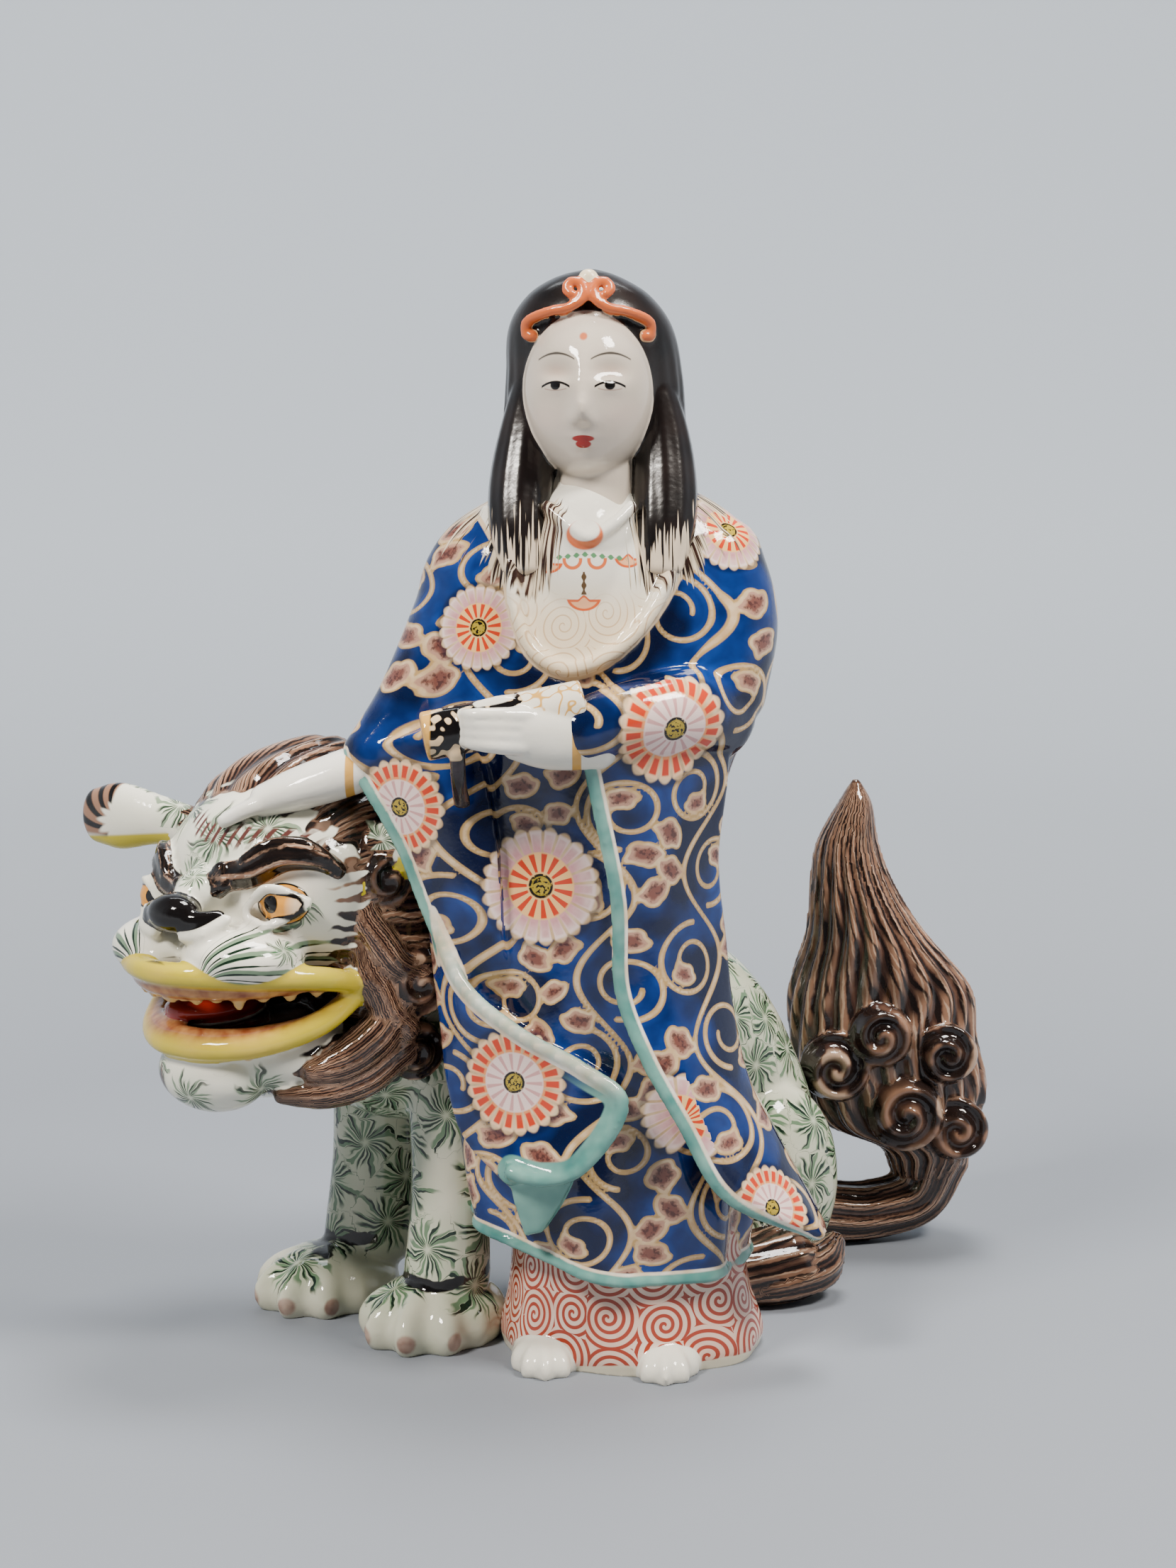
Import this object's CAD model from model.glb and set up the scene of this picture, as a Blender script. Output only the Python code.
"""Looks of the porcelain figurine: one glazed casting, shaped finely here and painted with enamels."""
import functools
import math

import bpy
import numpy as np
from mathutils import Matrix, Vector
from mathutils.bvhtree import BVHTree


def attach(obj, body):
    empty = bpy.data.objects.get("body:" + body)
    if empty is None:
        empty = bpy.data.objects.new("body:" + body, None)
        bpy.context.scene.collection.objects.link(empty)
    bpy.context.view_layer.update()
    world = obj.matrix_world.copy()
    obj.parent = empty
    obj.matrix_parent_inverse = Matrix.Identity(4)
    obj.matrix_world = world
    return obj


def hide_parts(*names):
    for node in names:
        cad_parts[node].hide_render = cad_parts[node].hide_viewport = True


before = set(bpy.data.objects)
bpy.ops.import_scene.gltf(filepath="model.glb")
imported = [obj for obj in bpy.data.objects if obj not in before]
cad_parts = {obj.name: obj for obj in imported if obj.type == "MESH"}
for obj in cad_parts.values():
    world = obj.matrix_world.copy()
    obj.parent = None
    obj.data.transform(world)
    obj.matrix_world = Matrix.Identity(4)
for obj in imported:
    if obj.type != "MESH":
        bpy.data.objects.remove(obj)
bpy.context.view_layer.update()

MM = 0.001
TURN = 2 * math.pi
NODE = "figurine"
# Middle of the casting, in millimetres from the middle of the skirt, which the shapes are placed from
MIDDLE = np.array([-20.489, 37.595, 0.0])
rng = np.random.default_rng(7)

# Driving dimensions, in millimetres
WAIST_Z = 137
HEM_Z = 29
HEM_RISE_LEFT = 12
HEAD_TOP = 276
HEAD_CENTRE = np.array([-10.0, -1.0, 247.0])
LION_HEAD = np.array([-90.0, 8.0, 112.0])
LION_HEAD_TURN = math.radians(38)
LION_BODY_TURN = math.radians(62)
RUMP = np.array([30.0, 70.0, 0.0])


# Curves and surfaces

def bump(distance, width):
    return np.exp(-((distance / width) ** 2))


def smooth_rows(rows, keys):
    """Values of a smooth curve through rows of [key, value, value...] at each of the keys."""
    rows = np.array(rows, float)
    at, values = rows[:, 0], rows[:, 1:]
    last = len(rows) - 1
    before = values[np.maximum(np.arange(last + 1) - 1, 0)]
    after = values[np.minimum(np.arange(last + 1) + 1, last)]
    reach = at[np.minimum(np.arange(last + 1) + 1, last)] - at[np.maximum(np.arange(last + 1) - 1, 0)]
    slope = (after - before) / reach[:, None]
    keys = np.atleast_1d(np.asarray(keys, float))
    i = np.clip(np.searchsorted(at, keys) - 1, 0, last - 1)
    span = (at[i + 1] - at[i])[:, None]
    t = np.clip((keys - at[i])[:, None] / span, 0, 1)
    return ((2 * t**3 - 3 * t**2 + 1) * values[i] + (t**3 - 2 * t**2 + t) * slope[i] * span
            + (3 * t**2 - 2 * t**3) * values[i + 1] + (t**3 - t**2) * slope[i + 1] * span)


def curve_points(points, ts):
    """Points on a smooth curve through the given ones, evenly keyed from 0 to 1."""
    points = np.array([p[:3] for p in points], float)
    last = len(points) - 1
    ends = np.vstack([2 * points[0] - points[1], points, 2 * points[-1] - points[-2]])
    made = []
    for t in np.clip(ts, 0, 1):
        i = min(int(t * last), last - 1)
        w = t * last - i
        p0, p1, p2, p3 = ends[i:i + 4]
        d0, d1, d2 = (max(np.linalg.norm(b - a), 1e-4) ** 0.5 for a, b in ((p0, p1), (p1, p2), (p2, p3)))
        m1 = ((p1 - p0) / d0 - (p2 - p0) / (d0 + d1) + (p2 - p1) / d1) * d1
        m2 = ((p2 - p1) / d1 - (p3 - p1) / (d1 + d2) + (p3 - p2) / d2) * d1
        made.append((2 * w**3 - 3 * w**2 + 1) * p1 + (w**3 - 2 * w**2 + w) * m1
                    + (3 * w**2 - 2 * w**3) * p2 + (w**3 - w**2) * m2)
    return np.array(made)


def unit(v):
    return v / np.linalg.norm(v, axis=-1, keepdims=True)


CAP_RINGS = 5
SMALL_STEP = 1e-3


def limb(stations, sides=36, steps=40, up=(0, 0, 1), domes=(0.8, 0.8), relief=None):
    """A rounded limb along stations of [x, y, z, half width, half depth].

    It comes as a grid, with how far along and how far round the limb each point is.
    """
    sizes = [[i / (len(stations) - 1), s[3], s[4] if len(s) > 4 else s[3]] for i, s in enumerate(stations)]
    bends = (np.arange(CAP_RINGS) + 0.4) / CAP_RINGS * math.pi / 2
    caps, leans = np.sin(bends), np.cos(bends)
    us = np.concatenate([np.zeros(CAP_RINGS), np.linspace(0, 1, steps + 1), np.ones(CAP_RINGS)])
    scales = np.concatenate([caps, np.ones(steps + 1), caps[::-1]])
    slides = np.concatenate([-domes[0] * leans, np.zeros(steps + 1), domes[1] * leans[::-1]])
    middle = curve_points(stations, us)
    ahead = curve_points(stations, np.minimum(us + SMALL_STEP, 1))
    tangent = unit(ahead - curve_points(stations, np.maximum(us - SMALL_STEP, 0)))
    side = unit(np.cross(tangent, up))
    normal = np.cross(side, tangent)
    wide, deep = smooth_rows(sizes, us).T
    middle = middle + tangent * (slides * np.minimum(wide, deep))[:, None]
    u, a = np.meshgrid(us, np.linspace(0, TURN, sides + 1), indexing="ij")
    extra = relief(u, a) if relief else np.zeros_like(u)
    across = scales[:, None] * (wide[:, None] + extra) * np.cos(a)
    rise = scales[:, None] * (deep[:, None] + extra) * np.sin(a)
    return middle[:, None] + side[:, None] * across[..., None] + normal[:, None] * rise[..., None], u, a


def combed(height, phase):
    """Options of a limb with strands along it. phase(u, angle) turns once for each strand."""
    return {"relief": lambda u, a: height * np.cos(phase(u, a)),
            "ridge_of": lambda u, a: np.cos(phase(u, a))}


def turned(points, angle):
    """Points turned about Z."""
    c, s = math.cos(angle), math.sin(angle)
    x, y = points[..., 0], points[..., 1]
    return np.stack([c * x - s * y, s * x + c * y, points[..., 2]], -1)


POLE_GAP = 0.04


def egg(centre, radii, turn=0.0, sides=40, rings=28, relief=None):
    """An egg shape turned about Z, as a grid. relief takes points of the unit ball and gives offsets."""
    theta = np.linspace(POLE_GAP, math.pi - POLE_GAP, rings)[:, None]
    phi = np.linspace(0, TURN, sides + 1)[None]
    level = np.sin(theta)
    ball = np.stack([-np.cos(phi) * level, -np.sin(phi) * level, np.cos(theta) + 0 * phi], -1)
    shape = ball * np.array(radii, float)
    if relief:
        shape = shape + relief(ball)
    return turned(shape, turn) + np.array(centre, float)


def stack(heights, sides, section):
    """Level rings stacked over heights, as a grid. section(z, angles) gives one ring."""
    angles = np.linspace(0, TURN, sides + 1)
    return np.array([section(z, angles) for z in heights])


def oval_ring(rows, z, angle, offset, middle=0.0):
    """One level ring through rows of [z, left, right, front, back], pushed out by offset."""
    left, right, front, back = smooth_rows(rows, z)[0]
    depth = np.where(np.sin(angle) > 0, back, front) + offset
    x = (left + right) / 2 + ((right - left) / 2 + offset) * np.cos(angle)
    return np.stack([x, middle + depth * np.sin(angle), np.full_like(x, z)], -1)


DRAPE_ACROSS = 20
DRAPE_DOWN = 60


def drape(left, right, bulge, thick, ripple=0):
    """A hanging sheet between two edges, as a grid that goes round its front and back."""
    ts = np.linspace(0, 1, DRAPE_DOWN + 1)
    a, b = curve_points(left, ts), curve_points(right, ts)
    s = np.linspace(0, 1, DRAPE_ACROSS + 1)
    t = ts[:, None]
    front = a[:, None] + (b - a)[:, None] * s[None, :, None]
    front[..., 1] += -bulge * np.sin(math.pi * s) + ripple * t * np.sin(9 * s + 4 * t)
    back = front[:, ::-1] + np.array([0, thick, 0])
    return np.concatenate([front, back, front[:, :1]], axis=1)


CURL_TURNS = 1.75
CURL_SIDES = 48
CURL_RINGS = 26


def curl(centre, facing, radius, turn=1):
    """A spiral lock as a grid, and how high its points are: a low dome with a roll that winds into it."""
    out = unit(np.array(facing, float))
    across = unit(np.cross(out, (0, 0, 1)))
    upward = np.cross(across, out)
    reach = np.concatenate([[0.8], np.linspace(0.97, 0.03, CURL_RINGS)])[:, None]
    angle = np.linspace(0, TURN, CURL_SIDES + 1)[None]
    ridge = np.cos(TURN * CURL_TURNS * reach - turn * angle)
    rise = 0.6 * np.sqrt(1 - reach**2) + 0.15 * ridge * np.minimum(1, reach * 4)
    rise[0] = -0.7
    grid = (np.array(centre, float) + radius * (reach * np.cos(angle))[..., None] * across
            + radius * (reach * np.sin(angle))[..., None] * upward + radius * rise[..., None] * out)
    return grid, ridge


class Source:
    """Closed surfaces to fuse into a piece. Each has a zone, and its points a ridge and a strand number."""

    def __init__(self):
        self.points, self.faces, self.values, self.zones = [], [], [], []
        self.count = 0

    def add(self, zone, grid, ridge=0.0, strand=0.0):
        rows, columns = grid.shape[:2]
        values = np.stack([np.broadcast_to(value, (rows, columns)) for value in (ridge, strand)], -1)
        ends = [np.repeat(grid[n, :-1].mean(0)[None, None], columns, 1) for n in (0, -1)]
        grid = np.concatenate([ends[0], grid, ends[1]])
        values = np.concatenate([values[:1], values, values[-1:]])
        index = self.count + np.arange((rows + 2) * columns).reshape(rows + 2, columns)
        a, b, c, d = index[:-1, :-1], index[:-1, 1:], index[1:, 1:], index[1:, :-1]
        faces = np.concatenate([np.stack(corners, -1).reshape(-1, 3) for corners in ((a, b, c), (a, c, d))])
        self.points.append(grid.reshape(-1, 3))
        self.values.append(values.reshape(-1, 2))
        self.faces.append(faces)
        self.zones.append(np.full(len(faces), zone))
        self.count += (rows + 2) * columns

    def limb(self, zone, stations, ridge_of=None, finer=1.0, **options):
        grid, u, a = limb(stations, **options)
        self.add(zone, grid, 0.0 if ridge_of is None else ridge_of(u, a), finer * a)

    def whole(self):
        """All points, faces, values of the points and zones of the faces."""
        return [np.concatenate(part) for part in (self.points, self.faces, self.values, self.zones)]

    def tree(self, zone=None):
        """A search tree of the surfaces of one zone, or of all."""
        points, faces, _, zones = self.whole()
        if zone is not None:
            faces = faces[zones == zone]
        return BVHTree.FromPolygons(points.tolist(), faces.tolist())


def placed(name, data):
    """A new object in the scene."""
    made = bpy.data.objects.new(name, data)
    bpy.context.collection.objects.link(made)
    return made


class Piece:
    """A fused, softened mesh made from a source: its points in millimetres, and fields for the paint."""

    def __init__(self, name, source, voxel, softening):
        self.source = source
        points, faces, _, _ = source.whole()
        mesh = bpy.data.meshes.new(name + "_source")
        mesh.from_pydata((points * MM).tolist(), [], faces.tolist())
        rough = placed(name + "_source", mesh)
        remesh = rough.modifiers.new("fuse", "REMESH")
        remesh.mode = "VOXEL"
        remesh.voxel_size = voxel * MM
        smooth = rough.modifiers.new("soften", "SMOOTH")
        smooth.factor = 0.5
        smooth.iterations = softening
        evaluated = rough.evaluated_get(bpy.context.evaluated_depsgraph_get())
        self.mesh = bpy.data.meshes.new_from_object(evaluated)
        self.mesh.name = name
        bpy.data.objects.remove(rough)
        self.object = placed(name, self.mesh)
        self.points = self.vectors("co") / MM
        self.normals = self.vectors("normal")

    def vectors(self, what):
        numbers = np.zeros(len(self.mesh.vertices) * 3, np.float32)
        self.mesh.vertices.foreach_get(what, numbers)
        return numbers.reshape(-1, 3).astype(float)

    def surface(self):
        """A search tree of the fused mesh."""
        return BVHTree.FromPolygons(self.points.tolist(), [p.vertices[:] for p in self.mesh.polygons])

    def nearest_values(self):
        """Ridge and strand number of the nearest place on the source."""
        points, faces, values, _ = self.source.whole()
        tree = self.source.tree()
        hits = [tree.find_nearest(p) for p in self.points.tolist()]
        face = np.array([h[2] for h in hits])
        spot = np.array([h[0] for h in hits])
        gap = 1 / (np.linalg.norm(points[faces[face]] - spot[:, None], axis=-1) + 1e-3)
        weight = gap / gap.sum(1, keepdims=True)
        return (values[faces[face]] * weight[..., None]).sum(1)

    def distances(self, *zones):
        """Distance from each point to the nearest surface of each zone."""
        trees = {zone: self.source.tree(zone) for zone in zones}
        return {zone: np.array([tree.find_nearest(p)[3] for p in self.points.tolist()])
                for zone, tree in trees.items()}

    def store(self, name, *values):
        """Keeps up to three numbers per point for the paint."""
        attribute = self.mesh.attributes.new(name, "FLOAT_VECTOR", "POINT")
        filled = list(values) + [np.zeros(len(self.points))] * (3 - len(values))
        attribute.data.foreach_set("vector", np.stack(filled, -1).astype(np.float32).ravel())

    def flatten_below_floor(self):
        self.points[:, 2] = np.maximum(self.points[:, 2], 0)

    def finish(self, material):
        """Moves the piece to the frame of the casting, and lets it stand for the node."""
        self.mesh.vertices.foreach_set("co", ((self.points - MIDDLE) * MM).astype(np.float32).ravel())
        self.mesh.polygons.foreach_set("use_smooth", np.ones(len(self.mesh.polygons), bool))
        self.mesh.update()
        self.mesh.materials.clear()
        self.mesh.materials.append(material)
        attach(self.object, "root")
        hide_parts(NODE)


def edge_field(distance, reach=3):
    """A signed distance, cut off a few millimetres from the edge that the paint looks for."""
    return np.clip(distance, -reach, reach)


LINE_STEP = 0.6
FAR = 1e9


def line_distance(points, lines):
    """Distance from each point to the nearest of some smooth lines."""
    samples = []
    for line in lines:
        rough = curve_points(line, np.linspace(0, 1, 40))
        length = np.linalg.norm(np.diff(rough, axis=0), axis=1).sum()
        samples.append(curve_points(line, np.linspace(0, 1, max(3, int(length / LINE_STEP)))))
    best = np.full(len(points), FAR)
    for sample in np.concatenate(samples):
        best = np.minimum(best, ((points - sample) ** 2).sum(1))
    return np.sqrt(best)


NO_DISC = 9.0
DISC_REACH = 3.0


def local_discs(piece, discs, facing=0.2):
    """For each point, its place in the nearest disc, in radii, how far out that is, and the disc's kind.

    A disc is (centre, normal, radius, kind, spin), and takes only points whose normal faces its way.
    """
    best = np.full(len(piece.points), NO_DISC)
    place = np.zeros((len(piece.points), 2))
    kind = np.zeros(len(piece.points))
    for centre, normal, radius, style, spin in discs:
        across = unit(np.cross((0, 0, 1), normal) + np.array([1e-6, 0, 0]))
        upward = np.cross(normal, across)
        away = piece.points - centre
        reach = np.linalg.norm(away, axis=1) / radius
        reach = np.where(piece.normals @ normal > facing, reach, NO_DISC)
        closer = reach < best
        x, y = away @ across / radius, away @ upward / radius
        c, s = math.cos(spin), math.sin(spin)
        place[closer] = np.stack([c * x - s * y, s * x + c * y], -1)[closer]
        kind[closer] = style
        best = np.minimum(best, reach)
    return place, np.minimum(best, DISC_REACH), kind


RAY_START = 400.0


def surface_point(piece, surface, x, z, behind):
    """The point that a level line from the front, or from behind, meets first, and the normal there."""
    start = Vector((x, RAY_START if behind else -RAY_START, z))
    hit, _, _, _ = surface.ray_cast(start, Vector((0, -1.0 if behind else 1.0, 0)))
    if hit is None:
        return None
    spot = np.array(hit)
    near = np.linalg.norm(piece.points - spot, axis=1) < 4
    return spot, unit(piece.normals[near].sum(0))


# Paint, as sums over fields that become shader nodes

class Field:
    """A number that varies over the surface, kept as the output socket of a node."""

    def __init__(self, paint, socket):
        self.paint, self.socket = paint, socket

    def __add__(self, other):
        return self.paint.math("ADD", self, other)

    def __sub__(self, other):
        return self.paint.math("SUBTRACT", self, other)

    def __rsub__(self, other):
        return self.paint.math("SUBTRACT", other, self)

    def __mul__(self, other):
        return self.paint.math("MULTIPLY", self, other)

    def __truediv__(self, other):
        return self.paint.math("DIVIDE", self, other)

    __radd__ = __add__
    __rmul__ = __mul__


# Sockets of the colour mixing node
MIX_BASE, MIX_LAYER, MIX_RESULT = 6, 7, 2
GLAZE_IOR = 1.5
GLAZE_RIPPLE = 0.05


class Paint:
    """A material of glossy glaze, built in the order in which its enamels are laid."""

    def __init__(self, name):
        self.material = bpy.data.materials.new(name)
        self.material.use_nodes = True
        self.tree = self.material.node_tree
        self.shader = self.tree.nodes["Principled BSDF"]

    def node(self, kind):
        return self.tree.nodes.new("ShaderNode" + kind)

    def feed(self, socket, value):
        if isinstance(value, Field):
            self.tree.links.new(value.socket, socket)
        elif isinstance(value, bpy.types.NodeSocket):
            self.tree.links.new(value, socket)
        elif isinstance(value, tuple):
            socket.default_value = (*value, 1.0)
        else:
            socket.default_value = value

    def math(self, operation, *values):
        node = self.node("Math")
        node.operation = operation
        for socket, value in zip(node.inputs, values):
            self.feed(socket, value)
        return Field(self, node.outputs[0])

    def cos(self, value):
        return self.math("COSINE", value)

    def size(self, value):
        return self.math("ABSOLUTE", value)

    def least(self, *values):
        return functools.reduce(lambda a, b: self.math("MINIMUM", a, b), values)

    def most(self, *values):
        return functools.reduce(lambda a, b: self.math("MAXIMUM", a, b), values)

    def length(self, x, y):
        return self.math("SQRT", x * x + y * y)

    def angle(self, x, y):
        return self.math("ARCTAN2", y, x)

    def split(self, vector):
        """The three numbers of a vector."""
        node = self.node("SeparateXYZ")
        self.feed(node.inputs[0], vector)
        return [Field(self, output) for output in node.outputs]

    def fields(self, name):
        """The three numbers kept under a name."""
        node = self.node("Attribute")
        node.attribute_name = name
        return self.split(node.outputs["Vector"])

    def joined(self, x, y):
        node = self.node("CombineXYZ")
        for socket, value in zip(node.inputs, (x, y)):
            self.feed(socket, value)
        return node.outputs[0]

    def noise(self, scale, detail=2.0, where=None, low=0.3, high=0.7):
        """Cloudy noise from 0 to 1. The scale is in waves per metre, or per unit of where."""
        node = self.node("TexNoise")
        node.inputs["Scale"].default_value = scale
        node.inputs["Detail"].default_value = detail
        self.feed(node.inputs["Vector"], where if where is not None else self.place())
        return self.ramp(Field(self, node.outputs[0]), low, high)

    def place(self):
        return self.node("TexCoord").outputs["Object"]

    def ramp(self, value, low, high, smooth=False):
        """0 up to low, 1 from high."""
        node = self.node("MapRange")
        node.interpolation_type = "SMOOTHSTEP" if smooth else "LINEAR"
        node.clamp = True
        self.feed(node.inputs["Value"], value)
        node.inputs["From Min"].default_value = low
        node.inputs["From Max"].default_value = high
        return Field(self, node.outputs["Result"])

    def inside(self, value, soft):
        """1 where a field is below 0."""
        return 1.0 - self.ramp(value, -soft, soft, True)

    def above(self, value, edge, soft):
        return self.ramp(value, edge - soft, edge + soft, True)

    def over(self, base, colour, mask):
        node = self.node("Mix")
        node.data_type = "RGBA"
        self.feed(node.inputs["Factor"], mask)
        self.feed(node.inputs[MIX_BASE], base)
        self.feed(node.inputs[MIX_LAYER], colour)
        return node.outputs[MIX_RESULT]

    def fill(self, base, colour, field, soft):
        """Lays a colour where a field is below 0."""
        return self.over(base, colour, self.inside(field, soft))

    def glaze(self, colour, roughness=0.07):
        """Finishes the material: the colour under a clear, slightly uneven glaze."""
        self.feed(self.shader.inputs["Base Color"], colour)
        self.feed(self.shader.inputs["Roughness"], roughness)
        self.shader.inputs["IOR"].default_value = GLAZE_IOR
        bumps = self.node("Bump")
        bumps.inputs["Strength"].default_value = GLAZE_RIPPLE
        bumps.inputs["Distance"].default_value = MM
        self.feed(bumps.inputs["Height"], self.noise(140.0, 2.0) + self.noise(900.0, 2.0) * 0.25)
        self.tree.links.new(bumps.outputs[0], self.shader.inputs["Normal"])
        return self.material


# Enamel colours

WHITE = (0.76, 0.73, 0.63)
SKIN = (0.56, 0.485, 0.40)
CREAM = (0.50, 0.32, 0.16)
PALE_CREAM = (0.68, 0.52, 0.34)
BLUE = (0.004, 0.019, 0.115)
BRIGHT_BLUE = (0.009, 0.05, 0.25)
DEEP_BLUE = (0.002, 0.004, 0.02)
TEAL = (0.06, 0.21, 0.19)
PALE_TEAL = (0.20, 0.40, 0.34)
PALE_EDGE = (0.84, 0.82, 0.74)
MAUVE = (0.17, 0.065, 0.05)
PALE_MAUVE = (0.42, 0.24, 0.17)
RED = (0.56, 0.045, 0.015)
ORANGE = (0.76, 0.27, 0.09)
PINK = (0.62, 0.30, 0.32)
PALE_PINK = (0.80, 0.62, 0.58)
OLIVE = (0.40, 0.29, 0.03)
BLACK = (0.005, 0.004, 0.004)
BROWN = (0.055, 0.026, 0.019)
TAN = (0.27, 0.145, 0.09)
PALE_TAN = (0.52, 0.36, 0.25)
GREEN = (0.035, 0.13, 0.05)
DARK_GREEN = (0.008, 0.022, 0.012)
YELLOW = (0.56, 0.46, 0.015)
GUM = (0.50, 0.24, 0.08)
TONGUE = (0.32, 0.02, 0.012)
GOLD = (0.60, 0.33, 0.08)


# The figure's robe and skirt

ROBE = [
    [24, -41, 30, 28, 24], [41, -43.6, 31.5, 29, 26], [70, -43, 28, 27, 25], [107, -43, 24.3, 26, 24],
    [WAIST_Z, -46, 22.7, 25, 23], [152, -50, 26, 25, 23], [164, -56, 30.6, 25, 23],
    [178, -57, 34, 23.5, 22.5],
    [195, -54, 34.5, 21, 22], [205, -51, 31.5, 19, 20], [214, -44, 27, 15, 17], [221, -32, 17, 10, 12],
    [226, -20, 5, 7, 8],
]
SKIRT = [
    [0, -32.5, 34, 24, 25], [4, -33.5, 35, 25, 25.5], [16, -31.5, 31.5, 24, 24], [30, -30.5, 29.5, 24, 23],
    [40, -30.5, 29.5, 24, 23],
]
SLEEVE_EDGE = [
    [-71, -12, 156], [-65, -15, 147], [-57.5, -17, 134], [-51.5, -19, 119], [-46, -20, 106], [-42, -16, 92],
]
SWIRL_LEFT = [
    [-51, -15, 120], [-50, -16, 105], [-48, -19, 90], [-46, -22, 74], [-42, -25, 62], [-31, -33, 52],
]
SWIRL_RIGHT = [
    [-49, -19, 118], [-42, -25, 101], [-28, -31, 90], [-12, -34, 81.5], [-2.5, -36, 74], [-13, -36, 57],
]
SWIRL_EDGE = [*SWIRL_RIGHT, [-22, -36.5, 54.5], [-30, -34.5, 56]]
SHEET_LEFT = [
    [-13.6, -35, 171], [-9, -31, 148], [-4, -29, 122], [-3, -29, 100], [3, -31, 84], [12.5, -32, 67],
    [23, -31, 49], [47, -21, 35.5],
]
SHEET_RIGHT = [
    [25, -16, 171], [24, -14, 150], [22, -12, 130], [24, -11, 110], [26, -12, 92], [30, -13, 74],
    [38, -13, 58], [50, -18, 36],
]
NECKLINE = [
    [-36, -6, 217, 1.6], [-30, -17, 206, 1.8], [-28.5, -21.5, 193, 1.8], [-24, -24, 183, 1.8],
    [-16, -25, 179, 1.8], [-6, -25, 182, 1.8], [3, -23, 190, 1.8], [9, -18.5, 201, 1.8], [13, -10, 213, 1.6],
]
COLLAR = [
    [-21, -15.5, 218], [-15.5, -19.5, 213.5], [-10.8, -21.5, 210.5], [-5, -19.5, 213.5], [0, -15.5, 218],
]
CLOTH, CHEST, UNDERSKIRT, FOOT, LINING = range(5)


def robe_section(z, angle):
    low = max(0, 1 - (z - HEM_Z) / (WAIST_Z + 40))
    fold = 1.7 * low * np.sin(7 * angle + z / 26) + 0.5 * low * np.sin(13 * angle - z / 17)
    ring = oval_ring(ROBE, z, angle, fold)
    ring[:, 2] += HEM_RISE_LEFT * bump(z - ROBE[0][0], 26) * np.maximum(0, (-ring[:, 0] - 2) / 40)
    return ring


def skirt_section(z, angle):
    return oval_ring(SKIRT, z, angle, 0.8 * np.sin(7 * angle) * bump(z, 18))


def toe_ridges(ball, height, count, sign):
    around = np.arctan2(ball[..., 0], -ball[..., 1])
    ridge = sign * height * np.cos(count * around) * np.maximum(0, np.cos(around)) ** 0.5
    return np.stack([ridge * ball[..., 0], ridge * ball[..., 1], 0 * ridge], -1)


def bottom_edge():
    """The robe's lowest edge, all the way round."""
    return robe_section(ROBE[0][0] + 1, np.linspace(0, TURN, 40)).tolist()


def robe_source():
    source = Source()
    source.add(CLOTH, stack(np.linspace(24, 226, 130), 160, robe_section))
    source.add(UNDERSKIRT, stack(np.linspace(-3, 40, 40), 140, skirt_section))
    left_sleeve(source)
    source.limb(CLOTH, [[20, 1, 205, 13, 13], [23, -1, 190, 14, 15], [20, -6, 172, 14, 15]], up=(0, 1, 0))
    source.limb(CLOTH, [[21, -8, 167, 11, 12.5], [12, -20, 168, 11, 11], [-2, -29, 167, 9, 9],
                        [-13, -32, 164, 8, 8]])
    source.add(CLOTH, drape(SHEET_LEFT, SHEET_RIGHT, bulge=6, thick=11, ripple=1.2))
    source.add(CHEST, egg([-12.5, -7, 200], [17, 15, 24]))
    source.limb(CLOTH, NECKLINE, sides=16, steps=60)
    source.limb(CHEST, [[*p, 1.7] for p in COLLAR], sides=16)
    for edge, size in ((SLEEVE_EDGE, 1.3), (SWIRL_EDGE, 1.9), (SHEET_LEFT, 1.5), (bottom_edge(), 1.3)):
        source.limb(CLOTH, [[x, y - 0.2, z, size] for x, y, z in edge], sides=16, steps=120)
    for x, y in ((-21.5, -15), (8.5, -18.5)):
        source.add(FOOT, egg([x, y, 2], [9, 13, 6.5], sides=120,
                             relief=lambda ball: toe_ridges(ball, 0.9, 10, 1)))
    return source


def left_sleeve(source):
    """The sleeve over the lion's head, the hanging cloth under it and the corner that turns back."""
    source.limb(CLOTH, [[-36, 1, 203, 14, 13], [-43, -1, 186, 13.5, 13], [-53, -4, 168, 11.5, 11],
                        [-65.5, -9, 155, 7.5, 8]], up=(0, 1, 0))
    inner_edge = [[-40, -23, 168], [-36, -24, 152], [-33, -25, 136], [-32, -25, 120], [-31, -23, 106],
                  [-29, -16, 92]]
    source.add(CLOTH, drape(SLEEVE_EDGE, inner_edge, bulge=2.5, thick=14))
    source.add(CLOTH, drape(SWIRL_LEFT, SWIRL_RIGHT, bulge=3, thick=11, ripple=0.6))
    source.add(LINING, drape([[-31, -33, 58], [-29.5, -32, 49], [-26.5, -30, 38]],
                             [[-13, -34, 62], [-15, -32.5, 52], [-22, -30, 39]], bulge=0.5, thick=9))


# Chart of the robe, as if its cloth were unrolled: arc length round an oval, and height

OVAL = (36.0, 25.0)
OVAL_CENTRE = (-8.0, 0.0)


def chart(points):
    angles = np.linspace(-math.pi, math.pi, 721)
    rim = np.stack([OVAL[0] * np.sin(angles), -OVAL[1] * np.cos(angles)], -1)
    arc = np.concatenate([[0], np.cumsum(np.linalg.norm(np.diff(rim, axis=0), axis=1))])
    arc -= arc[len(arc) // 2]
    x, y = ((points[:, :2] - OVAL_CENTRE) / OVAL).T
    return np.interp(np.arctan2(x, -y), angles, arc), points[:, 2]


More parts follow.
